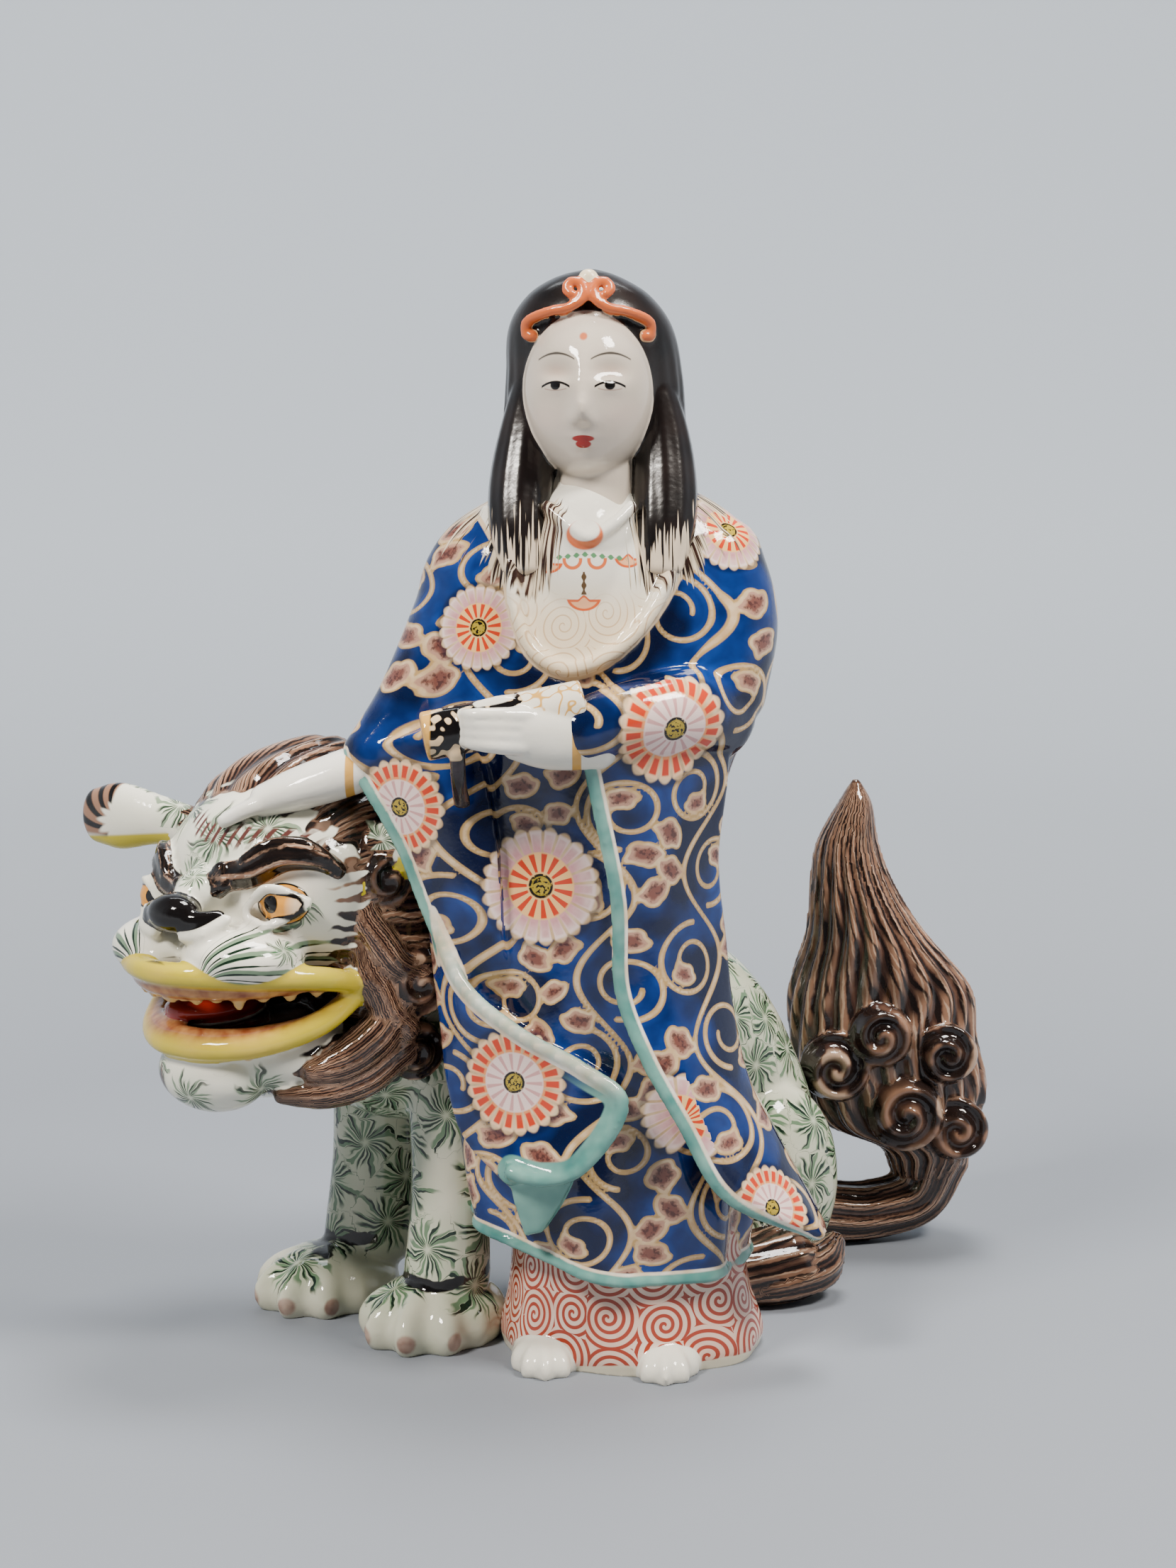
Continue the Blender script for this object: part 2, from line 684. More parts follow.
class Scroll:
    """Distance fields of a running vine scroll with leaves, drawn on a fine grid over the chart."""

    CELL = 0.3
    LOW = np.array([-112.0, 15.0])
    SIZE = (750, 740)
    EMPTY = 5.0
    STEMS = 9
    SPACING = 25.5
    WAVE = 43.0
    SPIRAL_TURNS = 1.25
    LEAF_TRIES = 9000

    def __init__(self):
        self.vine = np.full(self.SIZE, self.EMPTY)
        self.leaf = np.full(self.SIZE, self.EMPTY)

    def dab(self, layer, spot, radius):
        reach = int((radius + 3) / self.CELL)
        i, j = ((spot - self.LOW) / self.CELL).astype(int)
        i0, i1 = max(i - reach, 0), min(i + reach, self.SIZE[0])
        j0, j1 = max(j - reach, 0), min(j + reach, self.SIZE[1])
        if i0 >= i1 or j0 >= j1:
            return
        x = self.LOW[0] + self.CELL * np.arange(i0, i1)[:, None] - spot[0]
        y = self.LOW[1] + self.CELL * np.arange(j0, j1)[None] - spot[1]
        part = layer[i0:i1, j0:j1]
        np.minimum(part, np.hypot(x, y) - radius, out=part)

    def stroke(self, layer, points, radii):
        for spot, radius in zip(points, radii):
            self.dab(layer, spot, radius)

    def gap(self, spot):
        """How far a spot is from everything that is drawn."""
        i, j = np.clip(((spot - self.LOW) / self.CELL).astype(int), 0, np.array(self.SIZE) - 1)
        return min(self.vine[i, j], self.leaf[i, j])

    def leaf_at(self, root, heading, size, bend):
        """A lobed comma leaf that grows from its root and bends to one side."""
        t = np.linspace(0, 1, 12)
        turn = heading + bend * t
        spine = root + np.cumsum(np.stack([np.cos(turn), np.sin(turn)], -1) * size / 11, axis=0)
        if self.gap(spine[7]) < 0.27 * size + 1.0:
            return
        width = size * np.interp(t, [0, 0.2, 0.5, 0.75, 1], [0.03, 0.13, 0.31, 0.2, 0.04])
        self.stroke(self.leaf, spine, width)
        for n, away, lobe in ((4, -0.17, 0.19), (7, 0.2, 0.17)):
            aside = math.copysign(away * size, away * bend)
            spot = spine[n] + aside * np.array([-math.sin(turn[n]), math.cos(turn[n])])
            self.dab(self.leaf, spot, lobe * size)
        self.stroke(self.vine, np.linspace(root, spine[2], 6), np.full(6, 0.5))

    def spiral(self, centre, radius, start, hand):
        """Draws a spiral, and gives the (root, heading, size, bend) of the leaves along it."""
        t = np.linspace(0, 1, 110)
        around = start + hand * TURN * self.SPIRAL_TURNS * t
        reach = radius * (1 - 0.62 * t)
        points = centre + np.stack([reach * np.cos(around), reach * np.sin(around)], -1)
        self.stroke(self.vine, points, 0.66 - 0.16 * t)
        leaves = ((109, 1.7, 6.2, 1.5), (30, 0.5, 6.4, -0.9), (58, 0.5, 5.8, -0.9))
        return [(points[n], around[n] + hand * turn, size, hand * bend) for n, turn, size, bend in leaves]

    def stem(self, number):
        """Draws a waving stem with a spiral in each bend, and gives the leaves along it."""
        leaves = []
        base = -102 + self.SPACING * number + rng.uniform(-1, 1)
        shift = rng.uniform(0, self.WAVE)
        z = np.arange(12, 236, 0.4)
        u = base + 6.5 * np.sin(TURN * (z + shift) / self.WAVE)
        self.stroke(self.vine, np.stack([u, z], -1), 0.64 + 0.12 * np.sin(z / 5))
        for n in range(-1, 14):
            crest = (n * 0.5 + 0.25) * self.WAVE - shift
            if not 10 < crest < 236:
                continue
            side = 1 if n % 2 == 0 else -1
            centre = np.array([base - side * 4.6, crest + rng.uniform(-1.5, 1.5)])
            start = math.pi * 0.45 if side > 0 else -math.pi * 0.55
            leaves += self.spiral(centre, 9.2 + rng.uniform(-0.7, 0.7), start, rng.choice([-1, 1]))
            for lift in (-8.5, 0, 8.5):
                root = np.array([base + side * 6.5 * math.cos(lift / self.WAVE * TURN), crest + lift])
                heading = (0 if side > 0 else math.pi) + side * 0.1 * lift
                leaves.append((root, heading, 7.2, side * rng.uniform(0.7, 1.5)))
        return leaves

    def draw(self):
        """All the stems, then the leaves along them, then leaves in the gaps that are left."""
        leaves = [leaf for number in range(self.STEMS) for leaf in self.stem(number)]
        for root, heading, size, bend in leaves:
            self.leaf_at(root, heading, size, bend)
        for _ in range(self.LEAF_TRIES):
            spot = self.LOW + rng.uniform(0, 1, 2) * np.array(self.SIZE) * self.CELL
            room = self.gap(spot)
            if room > 3.9:
                heading = rng.uniform(0, TURN)
                size = min(7.4, 2.2 * room)
                root = spot - 0.55 * size * np.array([math.cos(heading), math.sin(heading)])
                self.leaf_at(root, heading, size, rng.choice([-1.0, 1.0]))

    def read(self, layer, u, z):
        x = np.clip((u - self.LOW[0]) / self.CELL, 0, self.SIZE[0] - 1.001)
        y = np.clip((z - self.LOW[1]) / self.CELL, 0, self.SIZE[1] - 1.001)
        i, j = x.astype(int), y.astype(int)
        a, b = x - i, y - j
        return ((1 - a) * (1 - b) * layer[i, j] + a * (1 - b) * layer[i + 1, j]
                + (1 - a) * b * layer[i, j + 1] + a * b * layer[i + 1, j + 1])


LEAF_BORDER = 0.85
# Flowers of the robe: (x, z) seen from the front, radius, and whether the red petals are outside
FLOWERS = [
    (-37.7, 188.4, 10.5, 0), (10.3, 165.0, 14.5, 1), (-57.3, 144.1, 12.0, 1), (-22.4, 125.1, 14.5, 0),
    (-29.0, 77.5, 13.0, 1), (11.5, 67.9, 12.0, 0), (35.1, 45.0, 10.5, 1), (24.0, 212.0, 10.5, 0),
]
BACK_FLOWERS = [
    (-30, 190, 12, 0), (8, 168, 13, 1), (-22, 132, 14, 0), (6, 98, 12, 0), (-34, 84, 12, 1), (-8, 52, 13, 1),
]


def flower_colour(paint, ground):
    """Chrysanthemums over a ground: petals outside, dashes or petals inside, and a ringed heart."""
    x, y, reach = paint.fields("flower")
    red_outside, _, _ = paint.fields("flower_kind")
    red_outside = paint.above(red_outside, 0.5, 0.3)
    around = paint.angle(x, y)
    petals = paint.size(paint.cos(around * 11.0))
    cream = paint.over(PALE_CREAM, CREAM, paint.noise(260.0))
    colour = paint.over(ground, DEEP_BLUE, paint.inside(reach - 1.08, 0.06) * 0.6)
    colour = paint.fill(colour, cream, reach - 0.93 - petals * 0.09, 0.03)
    petal = paint.above(petals, 0.34, 0.14) * paint.inside(paint.size(reach - 0.76) - 0.19, 0.03)
    blush = paint.over(PINK, PALE_PINK, paint.ramp(reach, 0.6, 0.92))
    warm = paint.over(ORANGE, (0.84, 0.56, 0.34), paint.ramp(reach, 0.6, 0.95))
    colour = paint.over(colour, blush, petal * (1.0 - red_outside))
    colour = paint.over(colour, warm, petal * red_outside)
    dash = paint.above(petals, 0.66, 0.12) * paint.inside(paint.size(reach - 0.76) - 0.13, 0.02)
    colour = paint.over(colour, RED, dash * red_outside)
    colour = paint.over(colour, (0.45, 0.16, 0.18), dash * paint.noise(300.0) * 0.5 * (1.0 - red_outside))
    heart = paint.over((0.84, 0.50, 0.20), PALE_PINK, red_outside)
    colour = paint.fill(colour, heart, reach - 0.58, 0.02)
    inner = paint.inside(paint.size(reach - 0.40) - 0.16, 0.02)
    spokes = paint.cos(around * 15.0)
    colour = paint.over(colour, RED, inner * paint.above(spokes, 0.15, 0.2) * (1.0 - red_outside))
    faint = inner * paint.above(spokes, 0.45, 0.3) * red_outside
    colour = paint.over(colour, (0.52, 0.22, 0.22), faint * 0.75)
    colour = paint.fill(colour, OLIVE, reach - 0.2, 0.02)
    ring = paint.inside(paint.size(reach - 0.19) - 0.024, 0.012)
    dots = paint.above(paint.noise(1500.0), 0.62, 0.1) * paint.inside(reach - 0.15, 0.02)
    return paint.over(colour, BLACK, paint.most(ring * paint.above(paint.noise(900.0), 0.2, 0.2), dots))


def spiral_colour(paint, ground, line, where, scale, pitch, width):
    """Spirals that fill a ground, one to a cell."""
    cells = paint.node("TexVoronoi")
    cells.inputs["Scale"].default_value = scale
    cells.inputs["Randomness"].default_value = 0.45
    paint.feed(cells.inputs["Vector"], where)
    away = paint.node("VectorMath")
    away.operation = "SUBTRACT"
    paint.feed(away.inputs[0], where)
    paint.feed(away.inputs[1], cells.outputs["Position"])
    x, y, _ = paint.split(away.outputs[0])
    wave = paint.cos(paint.length(x, y) * (TURN / pitch) - paint.angle(x, y))
    return paint.over(ground, line, paint.above(wave, 1 - width, 0.18))


def robe_material():
    paint = Paint("painted_robe")
    cream, brown, hem = paint.fields("scroll")
    chest, underskirt, foot = paint.fields("zones")
    lining, hair, swirl = paint.fields("zones_more")
    u, z, _ = paint.fields("chart")
    colour = flower_colour(paint, scroll_colour(paint, cream, brown))
    band = paint.over(TEAL, PALE_TEAL, paint.noise(130.0))
    edge = paint.over(PALE_CREAM, PALE_EDGE, paint.noise(160.0))
    colour = paint.fill(colour, edge, hem - 2.6, 0.15)
    colour = paint.fill(colour, band, hem - 1.9, 0.2)
    pale = paint.over((0.62, 0.60, 0.42), PALE_EDGE, paint.noise(160.0))
    colour = paint.over(colour, pale, paint.inside(swirl - 1.6, 0.4) * paint.above(z, 88.0, 12.0) * 0.85)
    colour = paint.over(colour, band, paint.inside(swirl - 4.2, 0.3) * paint.inside(z - 78.0, 4.0))
    colour = paint.fill(colour, paint.over(TEAL, PALE_TEAL, paint.noise(90.0)), lining, 0.2)
    colour = paint.fill(colour, PALE_CREAM, chest - 1.0, 0.2)
    colour = paint.fill(colour, chest_colour(paint, u, z), chest, 0.15)
    colour = fringe_colour(paint, colour, u, z, hair)
    ground = paint.over((0.66, 0.42, 0.32), (0.76, 0.60, 0.50), paint.noise(80.0))
    swirls = spiral_colour(paint, ground, (0.33, 0.045, 0.022), paint.joined(u, z), 0.08, 2.05, 0.85)
    swirls = paint.fill(swirls, (0.72, 0.66, 0.50), z - 3.4 + paint.noise(60.0) * 2.0, 0.3)
    colour = paint.fill(colour, swirls, underskirt, 0.15)
    colour = paint.fill(colour, WHITE, foot, 0.15)
    return paint.glaze(colour)


def scroll_colour(paint, cream, brown):
    """Blue cloth with cream stems, and leaves with a speckled heart."""
    deep = paint.noise(48.0, 2.0, low=0.42, high=0.57)
    wash = paint.inside(cream - 1.3, 1.0) * paint.noise(150.0)
    ground = paint.over(BLUE, BRIGHT_BLUE, paint.most(wash * 0.8, paint.noise(230.0) * 0.35))
    ground = paint.over(ground, DEEP_BLUE, deep * 0.9)
    line = paint.over(CREAM, PALE_CREAM, paint.noise(240.0))
    colour = paint.fill(ground, (0.42, 0.27, 0.11), cream - 0.12, 0.12)
    colour = paint.fill(colour, line, cream + 0.22, 0.14)
    leaf = paint.fill(PALE_MAUVE, MAUVE, brown + 0.75, 0.4)
    speckle = paint.noise(900.0, 3.0, low=0.5, high=0.6) * paint.inside(brown + 0.4, 0.3)
    leaf = paint.over(leaf, (0.05, 0.02, 0.02), speckle * 0.75)
    return paint.fill(colour, leaf, brown, 0.12)


def chest_colour(paint, u, z):
    """The pale open chest, with faint spirals low down and the necklace."""
    bare = paint.over((0.80, 0.77, 0.68), (0.78, 0.60, 0.36), paint.inside(z - 196.0, 9.0) * 0.65)
    cloud = spiral_colour(paint, bare, (0.50, 0.31, 0.15), paint.joined(u, z), 0.075, 2.0, 0.12)
    return pendant_colour(paint, paint.over(bare, cloud, paint.inside(z - 195.0, 4.0) * 0.8))


def fringe_colour(paint, ground, across, height, hair):
    """Brown streaks on cream where the hair thins out over the shoulders. hair is below 0 near its ends."""
    streaks = paint.noise(1.0, 1.0, paint.joined(across * 1.3, height * 0.07), 0.44, 0.56)
    tips = paint.noise(1.0, 1.0, paint.joined(across * 0.9 + 50.0, height * 0.02)) * 5.0
    brown = paint.over(BROWN, BLACK, paint.noise(120.0))
    fringe = paint.over((0.70, 0.58, 0.42), brown, streaks)
    return paint.fill(ground, fringe, hair + tips - 2.5, 0.5)


def pendant_colour(paint, ground):
    """Necklace of orange outlines and small fan pendants on the open chest."""
    x, z, _ = paint.fields("front")
    colour = ground
    for px, pz, size in ((-11.8, 194.3, 3.3), (-20.6, 203.2, 2.9), (-1.0, 204.4, 2.6)):
        dip = paint.length((x - px) / 1.25, (z - pz - size * 0.55)) - size * 0.95
        fan = paint.most(dip, z - (pz + size * 0.3) - paint.inside(paint.size(x - px) - 0.8, 0.8) * 1.1)
        colour = paint.fill(colour, (0.62, 0.11, 0.03), fan - 0.25, 0.12)
        colour = paint.fill(colour, (0.82, 0.42, 0.22), fan + 0.35, 0.15)
    hollow = 2.7 - paint.length((x + 11.6) / 1.35, z - 212.4)
    moon = paint.most(paint.length((x + 11.6) / 1.25, z - 211.2) - 3.6, hollow)
    colour = paint.fill(colour, (0.66, 0.15, 0.05), moon, 0.25)
    bow = paint.size(paint.length(paint.size(x + 11.6) - 3.0, z - 205.2) - 2.0) - 0.42
    colour = paint.fill(colour, (0.66, 0.15, 0.05), paint.most(bow, z - 205.6), 0.12)
    chain = paint.size(z - 206.5 + paint.size(x + 11.6) * 0.12) - 0.3
    beads = paint.most(chain, paint.size(x + 11.6) - 10.0) + paint.cos(x * 3.0) * 0.35
    colour = paint.fill(colour, (0.10, 0.26, 0.12), beads, 0.15)
    drop = paint.most(paint.size(x + 11.8) - 0.45 - paint.cos(z * 3.0) * 0.2, paint.size(z - 199.5) - 2.8)
    return paint.fill(colour, (0.10, 0.06, 0.03), drop, 0.12)


HAIR_ENDS = [
    [[-31, -12, 220], [-31, -15, 211], [-31, -18, 204]], [[-23, -16, 216], [-24, -19, 208], [-25, -21, 201]],
    [[4, -16, 216], [5, -18, 208], [6, -19, 202]], [[12, -12, 220], [13, -14, 212], [13, -16, 205]],
    [[-38, -2, 217], [-39, -4, 210], [-40, -6, 204]], [[19, -2, 217], [20, -4, 210], [21, -6, 206]],
]


def make_robe():
    piece = Piece("painted_robe", robe_source(), voxel=0.85, softening=5)
    piece.flatten_below_floor()
    near = piece.distances(CLOTH, CHEST, UNDERSKIRT, FOOT, LINING)
    u, z = chart(piece.points)
    scroll = Scroll()
    scroll.draw()
    vine = scroll.read(scroll.vine, u, z)
    leaf = scroll.read(scroll.leaf, u, z)
    hem = line_distance(piece.points, [SLEEVE_EDGE[:5], SWIRL_EDGE, SHEET_LEFT, bottom_edge()])
    piece.store("scroll", np.minimum(vine, leaf - LEAF_BORDER), leaf, hem)
    neck = line_distance(piece.points, [NECKLINE])
    chest = np.minimum(edge_field(near[CHEST] - near[CLOTH]), neck - 2.2)
    piece.store("zones", np.minimum(chest, inside_neckline(piece.points)),
                edge_field(near[UNDERSKIRT] - near[CLOTH]), edge_field(near[FOOT] - near[UNDERSKIRT]))
    hair = edge_field(line_distance(piece.points, HAIR_ENDS) - 5.0, 5)
    swirl = line_distance(piece.points, [SWIRL_EDGE])
    piece.store("zones_more", edge_field(near[LINING] - near[CLOTH]), hair, swirl)
    piece.store("chart", u, z)
    piece.store("front", piece.points[:, 0], piece.points[:, 2])
    place, reach, kind = local_discs(piece, flower_discs(piece))
    piece.store("flower", place[:, 0], place[:, 1], reach)
    piece.store("flower_kind", kind)
    piece.finish(robe_material())


def flower_discs(piece):
    surface = piece.surface()
    discs = []
    for behind, flowers in ((False, FLOWERS), (True, BACK_FLOWERS)):
        for x, z, radius, style in flowers:
            found = surface_point(piece, surface, x, z, behind)
            if found:
                discs.append((*found, radius, style, rng.uniform(0, TURN)))
    return discs


def inside_neckline(points):
    """Below 0 inside the U of the neckline, seen from the front."""
    line = curve_points(NECKLINE, np.linspace(0, 1, 60))
    lowest = np.interp(points[:, 0], line[:, 0], line[:, 2], left=999, right=999)
    return np.where(points[:, 1] < -2, edge_field(lowest - points[:, 2]), 3.0)


# The figure's head, hair, diadem and hands

FACE_RADII = np.array([16, 17, 21.5])
EYE_SPACING = 6.6
HEAD_TURN = math.radians(-5)
OFF_THE_FACE = -60
FACE_CENTRE = HEAD_CENTRE + np.array([-0.7, -5.5, -1])
HAIR = [
    [208, -36, 17, 1, 21], [224, -34.5, 15.5, 5, 22.5], [236, -32.2, 13.8, 10, 23],
    [250, -31.2, 12.8, 14.5, 23.5], [262, -30.5, 10.2, 16, 21], [270, -25.5, 4.2, 12.5, 15.5],
    [274.5, -18, -3.5, 6.5, 8], [HEAD_TOP, -11.5, -8.5, 1.5, 2],
]
# One half of the diadem, from its end to the curl beside the pearl, as places out from its middle
DIADEM_MIDDLE = -10.7
DIADEM = [
    (13.6, -12, 259.2), (15.2, -11, 259.4), (15.2, -11.5, 262.4), (9.5, -14.8, 265), (4.5, -16, 266),
    (1.3, -16.2, 268.2), (1.6, -15, 271.2), (4, -14.6, 272.2), (5.5, -15, 270.4), (4.2, -16, 269),
]
SKIN_ZONE, HAIR_ZONE, DIADEM_ZONE, SCROLL_ZONE, PEARL_ZONE = range(5)


def face_relief(ball):
    x, z = ball[..., 0] * FACE_RADII[0], ball[..., 2] * FACE_RADII[2]
    nose = 2.9 * bump(x, 2.5) * bump(z + 5.2, 3.8) + 1.6 * bump(x, 3.0) * bump(z - 0.5, 7)
    wings = 0.9 * bump(np.abs(x) - 2.4, 1.3) * bump(z + 7.0, 1.7)
    eye = np.abs(x) - EYE_SPACING
    socket = -1.3 * bump(eye, 4.2) * bump(z - 4.6, 2.6) + 1.0 * bump(eye, 3.4) * bump(z - 1.2, 1.9)
    lips = 0.9 * bump(x, 3.2) * bump(z + 11.2, 0.9) + 0.9 * bump(x, 2.5) * bump(z + 13.2, 1.0)
    chin = 1.1 * bump(x, 5) * bump(z + 17.5, 3.4)
    out = np.where(ball[..., 1] < -0.1, nose + wings + socket + lips + chin, 0)
    return np.stack([0 * out, -out, 0 * out], -1)


def hair_section(z, angle):
    strand = 0.35 * np.sin(26 * angle) * min(1, max(0, (262 - z) / 30))
    return oval_ring(HAIR, z, angle, strand, 1)


def head_source():
    source = Source()
    x, y, z = HEAD_CENTRE
    source.add(SKIN_ZONE, egg(FACE_CENTRE, FACE_RADII, HEAD_TURN, 110, 90, face_relief))
    source.limb(SKIN_ZONE, [[x + 1, y - 3, z - 18, 9, 8], [x + 0.5, y - 4, z - 36, 11, 9]])
    source.add(HAIR_ZONE, stack(np.linspace(208, HEAD_TOP, 70), 160, hair_section))
    for across in ((-24.5, -26, -27.3, -27.5, -27), (5, 7.4, 8.2, 8, 7.5)):
        lock_rows = ((-2, 254, 3, 5), (-4, 237, 6.5, 6.5), (-7, 223, 8, 8), (-13, 212, 7.5, 6),
                     (-17.5, 203, 5, 2.5))
        source.limb(HAIR_ZONE, [[x, *row] for x, row in zip(across, lock_rows)], up=(0, 1, 0), sides=72,
                    relief=lambda u, a: 0.16 * np.sin(11 * a) * np.minimum(1, 3 * u))
    source.limb(HAIR_ZONE, [[-9.5, 10, 222, 25, 12], [-9.5, 14, 208, 26, 10], [-9.5, 18, 190, 20, 7],
                            [-9.5, 20, 170, 13, 5], [-9.5, 21, 152, 5, 3.5]], up=(0, 1, 0), sides=140,
                relief=lambda u, a: 0.4 * np.sin(24 * a + 3 * u))
    for side in (-1, 1):
        wire = [[DIADEM_MIDDLE + side * x, y, z, 1.25] for x, y, z in DIADEM]
        source.limb(DIADEM_ZONE, wire, sides=16)
    source.add(PEARL_ZONE, egg([DIADEM_MIDDLE, -12.9, 273], [2.5, 2.5, 2.3]))
    return source


def head_material():
    paint = Paint("painted_head")
    hair, diadem, pearl = paint.fields("zones")
    across, height, depth = paint.fields("place")
    streaks = paint.noise(1.0, 1.0, paint.joined(across * 1.3, height * 0.07))
    tips = paint.above(height + streaks * 20.0 + paint.ramp(depth, 0.0, 12.0) * 46.0, 218.5, 1.5)
    black = paint.over(BLACK, (0.014, 0.009, 0.008), paint.noise(120.0))
    locks = paint.over((0.68, 0.56, 0.42), black, tips)
    colour = paint.fill(face_colour(paint), locks, hair, 0.15)
    metal = paint.fill((0.72, 0.42, 0.20), (0.60, 0.13, 0.035), diadem + 0.4, 0.2)
    colour = paint.fill(colour, metal, diadem, 0.15)
    colour = paint.fill(colour, (0.78, 0.66, 0.46), pearl, 0.15)
    return paint.glaze(colour, paint.inside(hair, 0.15) * 0.13 + 0.07)


def face_colour(paint):
    x, z, _ = paint.fields("face")
    skin = paint.over(SKIN, (0.64, 0.56, 0.475), paint.noise(60.0))
    eye_x = paint.size(x) - EYE_SPACING
    shade = paint.inside(paint.length(eye_x / 1.9, z - 4.6) - 1.2, 2.0)
    colour = paint.over(skin, (0.46, 0.29, 0.22), shade * 0.55)
    blush = paint.inside(paint.length((paint.size(x) - 9.0) / 1.2, z + 6.0) - 3.0, 3.5)
    colour = paint.over(colour, (0.74, 0.56, 0.48), blush * 0.35)
    brow = paint.size(z - 8.8 + eye_x * eye_x * 0.07) - 0.32 + paint.size(eye_x) * 0.03
    brow = paint.inside(paint.most(brow, paint.size(eye_x) - 4.6), 0.2)
    colour = paint.over(colour, BLACK, brow * 0.9)
    lid = paint.size(z - 1.9 + eye_x * eye_x * 0.09) - 0.3
    colour = paint.fill(colour, BLACK, paint.most(lid, paint.size(eye_x) - 3.6), 0.12)
    pupil = paint.most(paint.length(eye_x, z - 1.2) - 1.25, z - 1.9)
    colour = paint.fill(colour, BLACK, pupil, 0.15)
    under = paint.most(paint.size(z + 0.1 - eye_x * eye_x * 0.05) - 0.12, paint.size(eye_x) - 2.8)
    colour = paint.over(colour, (0.30, 0.17, 0.13), paint.inside(under, 0.12) * 0.7)
    colour = paint.fill(colour, (0.56, 0.16, 0.07), paint.length(x, z - 12.8) - 0.95, 0.3)
    upper = paint.length(x / 2.7, (z + 11.6) / 0.8) - 1.0
    lower = paint.length(x / 1.9, (z + 12.9) / 1.0) - 1.0
    return paint.fill(colour, (0.33, 0.02, 0.015), paint.least(upper, lower), 0.12)


def make_head():
    piece = Piece("painted_head", head_source(), voxel=0.6, softening=4)
    near = piece.distances(SKIN_ZONE, HAIR_ZONE, DIADEM_ZONE, PEARL_ZONE)
    under = np.minimum(near[SKIN_ZONE], near[HAIR_ZONE])
    face = turned(piece.points - FACE_CENTRE, -HEAD_TURN)
    on_face = (face[:, 1] < 2) & (face[:, 2] > -24)
    piece.store("face", face[:, 0], np.where(on_face, face[:, 2], OFF_THE_FACE))
    piece.store("zones", edge_field(near[HAIR_ZONE] - near[SKIN_ZONE]),
                edge_field(near[DIADEM_ZONE] - under),
                edge_field(near[PEARL_ZONE] - np.minimum(under, near[DIADEM_ZONE])))
    x, y, z = piece.points.T
    piece.store("place", x, z, y)
    piece.finish(head_material())


def hands_source():
    source = Source()
    source.limb(SKIN_ZONE, [[-8, -31, 163, 6.5, 8], [-20, -35, 163.5, 5.5, 8], [-28, -36.5, 165, 5, 7]])
    for n, lift in enumerate((-3.6, -1.2, 1.2, 3.6)):
        source.limb(SKIN_ZONE, [[-25, -38, 165 + lift, 2.4], [-32, -42 + 0.3 * n, 165.6 + lift, 2.0],
                                [-38, -41.5, 166 + 0.9 * lift, 1.8], [-41, -37, 166 + 0.8 * lift, 1.5]],
                    sides=20)
    source.limb(SKIN_ZONE, [[-22, -32, 170, 2.6], [-30, -35, 171.5, 2.2], [-37, -36, 170.5, 1.8]], sides=20)
    source.limb(SCROLL_ZONE, [[-50, -35, 163.5, 6], [-12, -32, 171, 6]], domes=(0.1, 0.1))
    source.limb(SCROLL_ZONE, [[-42, -38.5, 160, 2, 1.2], [-42, -34, 153, 2, 1.2],
                              [-41.5, -27, 146, 2.2, 1.2]], sides=20)
    source.limb(SKIN_ZONE, [[-64, -8, 154, 7, 6], [-74, -9, 150.5, 7.5, 6], [-84, -8, 147, 8.5, 5.5],
                            [-92, -7, 144, 7.5, 4.5]])
    for across in (-5.4, -1.8, 1.8, 5.4):
        source.limb(SKIN_ZONE, [[-87, -7 + across, 145.5, 2.5], [-95, -6.5 + 1.1 * across, 143, 2.2],
                                [-102, -5.5 + 1.2 * across, 139.5, 1.8]], sides=20)
    return source


# Where the cuffs cross the arms, where the scroll turns pale and ends, and the top of its cord
CUFFS = (-13.5, -70)
CUFF_HALF = 1.1
PALE_START = -25.0
GOLD_END = -48.4
CORD_TOP = 158


def hands_material():
    paint = Paint("painted_hands")
    scroll, cuff, cord = paint.fields("zones")
    along, _, _ = paint.fields("place")
    colour = paint.over(WHITE, (0.80, 0.78, 0.72), paint.noise(60.0))
    colour = paint.fill(colour, GOLD, cuff, 0.15)
    figure = paint.size(paint.noise(330.0, 0.0, low=0.0, high=1.0) - 0.5)
    roll = paint.fill((0.68, 0.50, 0.30), BLACK, figure - 0.13, 0.02)
    pale = paint.fill((0.78, 0.72, 0.60), GOLD, figure - 0.035, 0.02)
    roll = paint.over(roll, pale, paint.above(along + paint.noise(300.0) * 4.0, PALE_START, 0.3))
    roll = paint.fill(roll, GOLD, along - GOLD_END, 0.3)
    dark = paint.over(BLACK, (0.035, 0.022, 0.03), paint.noise(300.0))
    roll = paint.fill(roll, dark, cord, 0.3)
    colour = paint.fill(colour, roll, scroll, 0.15)
    return paint.glaze(colour, 0.08)


def make_hands():
    piece = Piece("painted_hands", hands_source(), voxel=0.55, softening=4)
    near = piece.distances(SKIN_ZONE, SCROLL_ZONE)
    x, y, z = piece.points.T
    cuff = np.min([np.abs(x - place) for place in CUFFS], axis=0) - CUFF_HALF
    piece.store("zones", edge_field(near[SCROLL_ZONE] - near[SKIN_ZONE]), cuff, z - CORD_TOP)
    piece.store("place", x, y, z)
    piece.finish(hands_material())


# The lion's head and mane

FORWARD = np.array([-math.sin(LION_HEAD_TURN), -math.cos(LION_HEAD_TURN), 0])
NEAR_SIDE = np.array([math.cos(LION_HEAD_TURN), -math.sin(LION_HEAD_TURN), 0])
UP = np.array([0, 0, 1.0])
FUR, MANE, LIP, GUM_ZONE, NOSE_ZONE, EYE_ZONE, TONGUE_ZONE, BROW, TOOTH = range(9)


def on_head(forward, across, up, *sizes):
    spot = LION_HEAD + forward * FORWARD + across * NEAR_SIDE + up * UP
    return [*spot, *sizes]


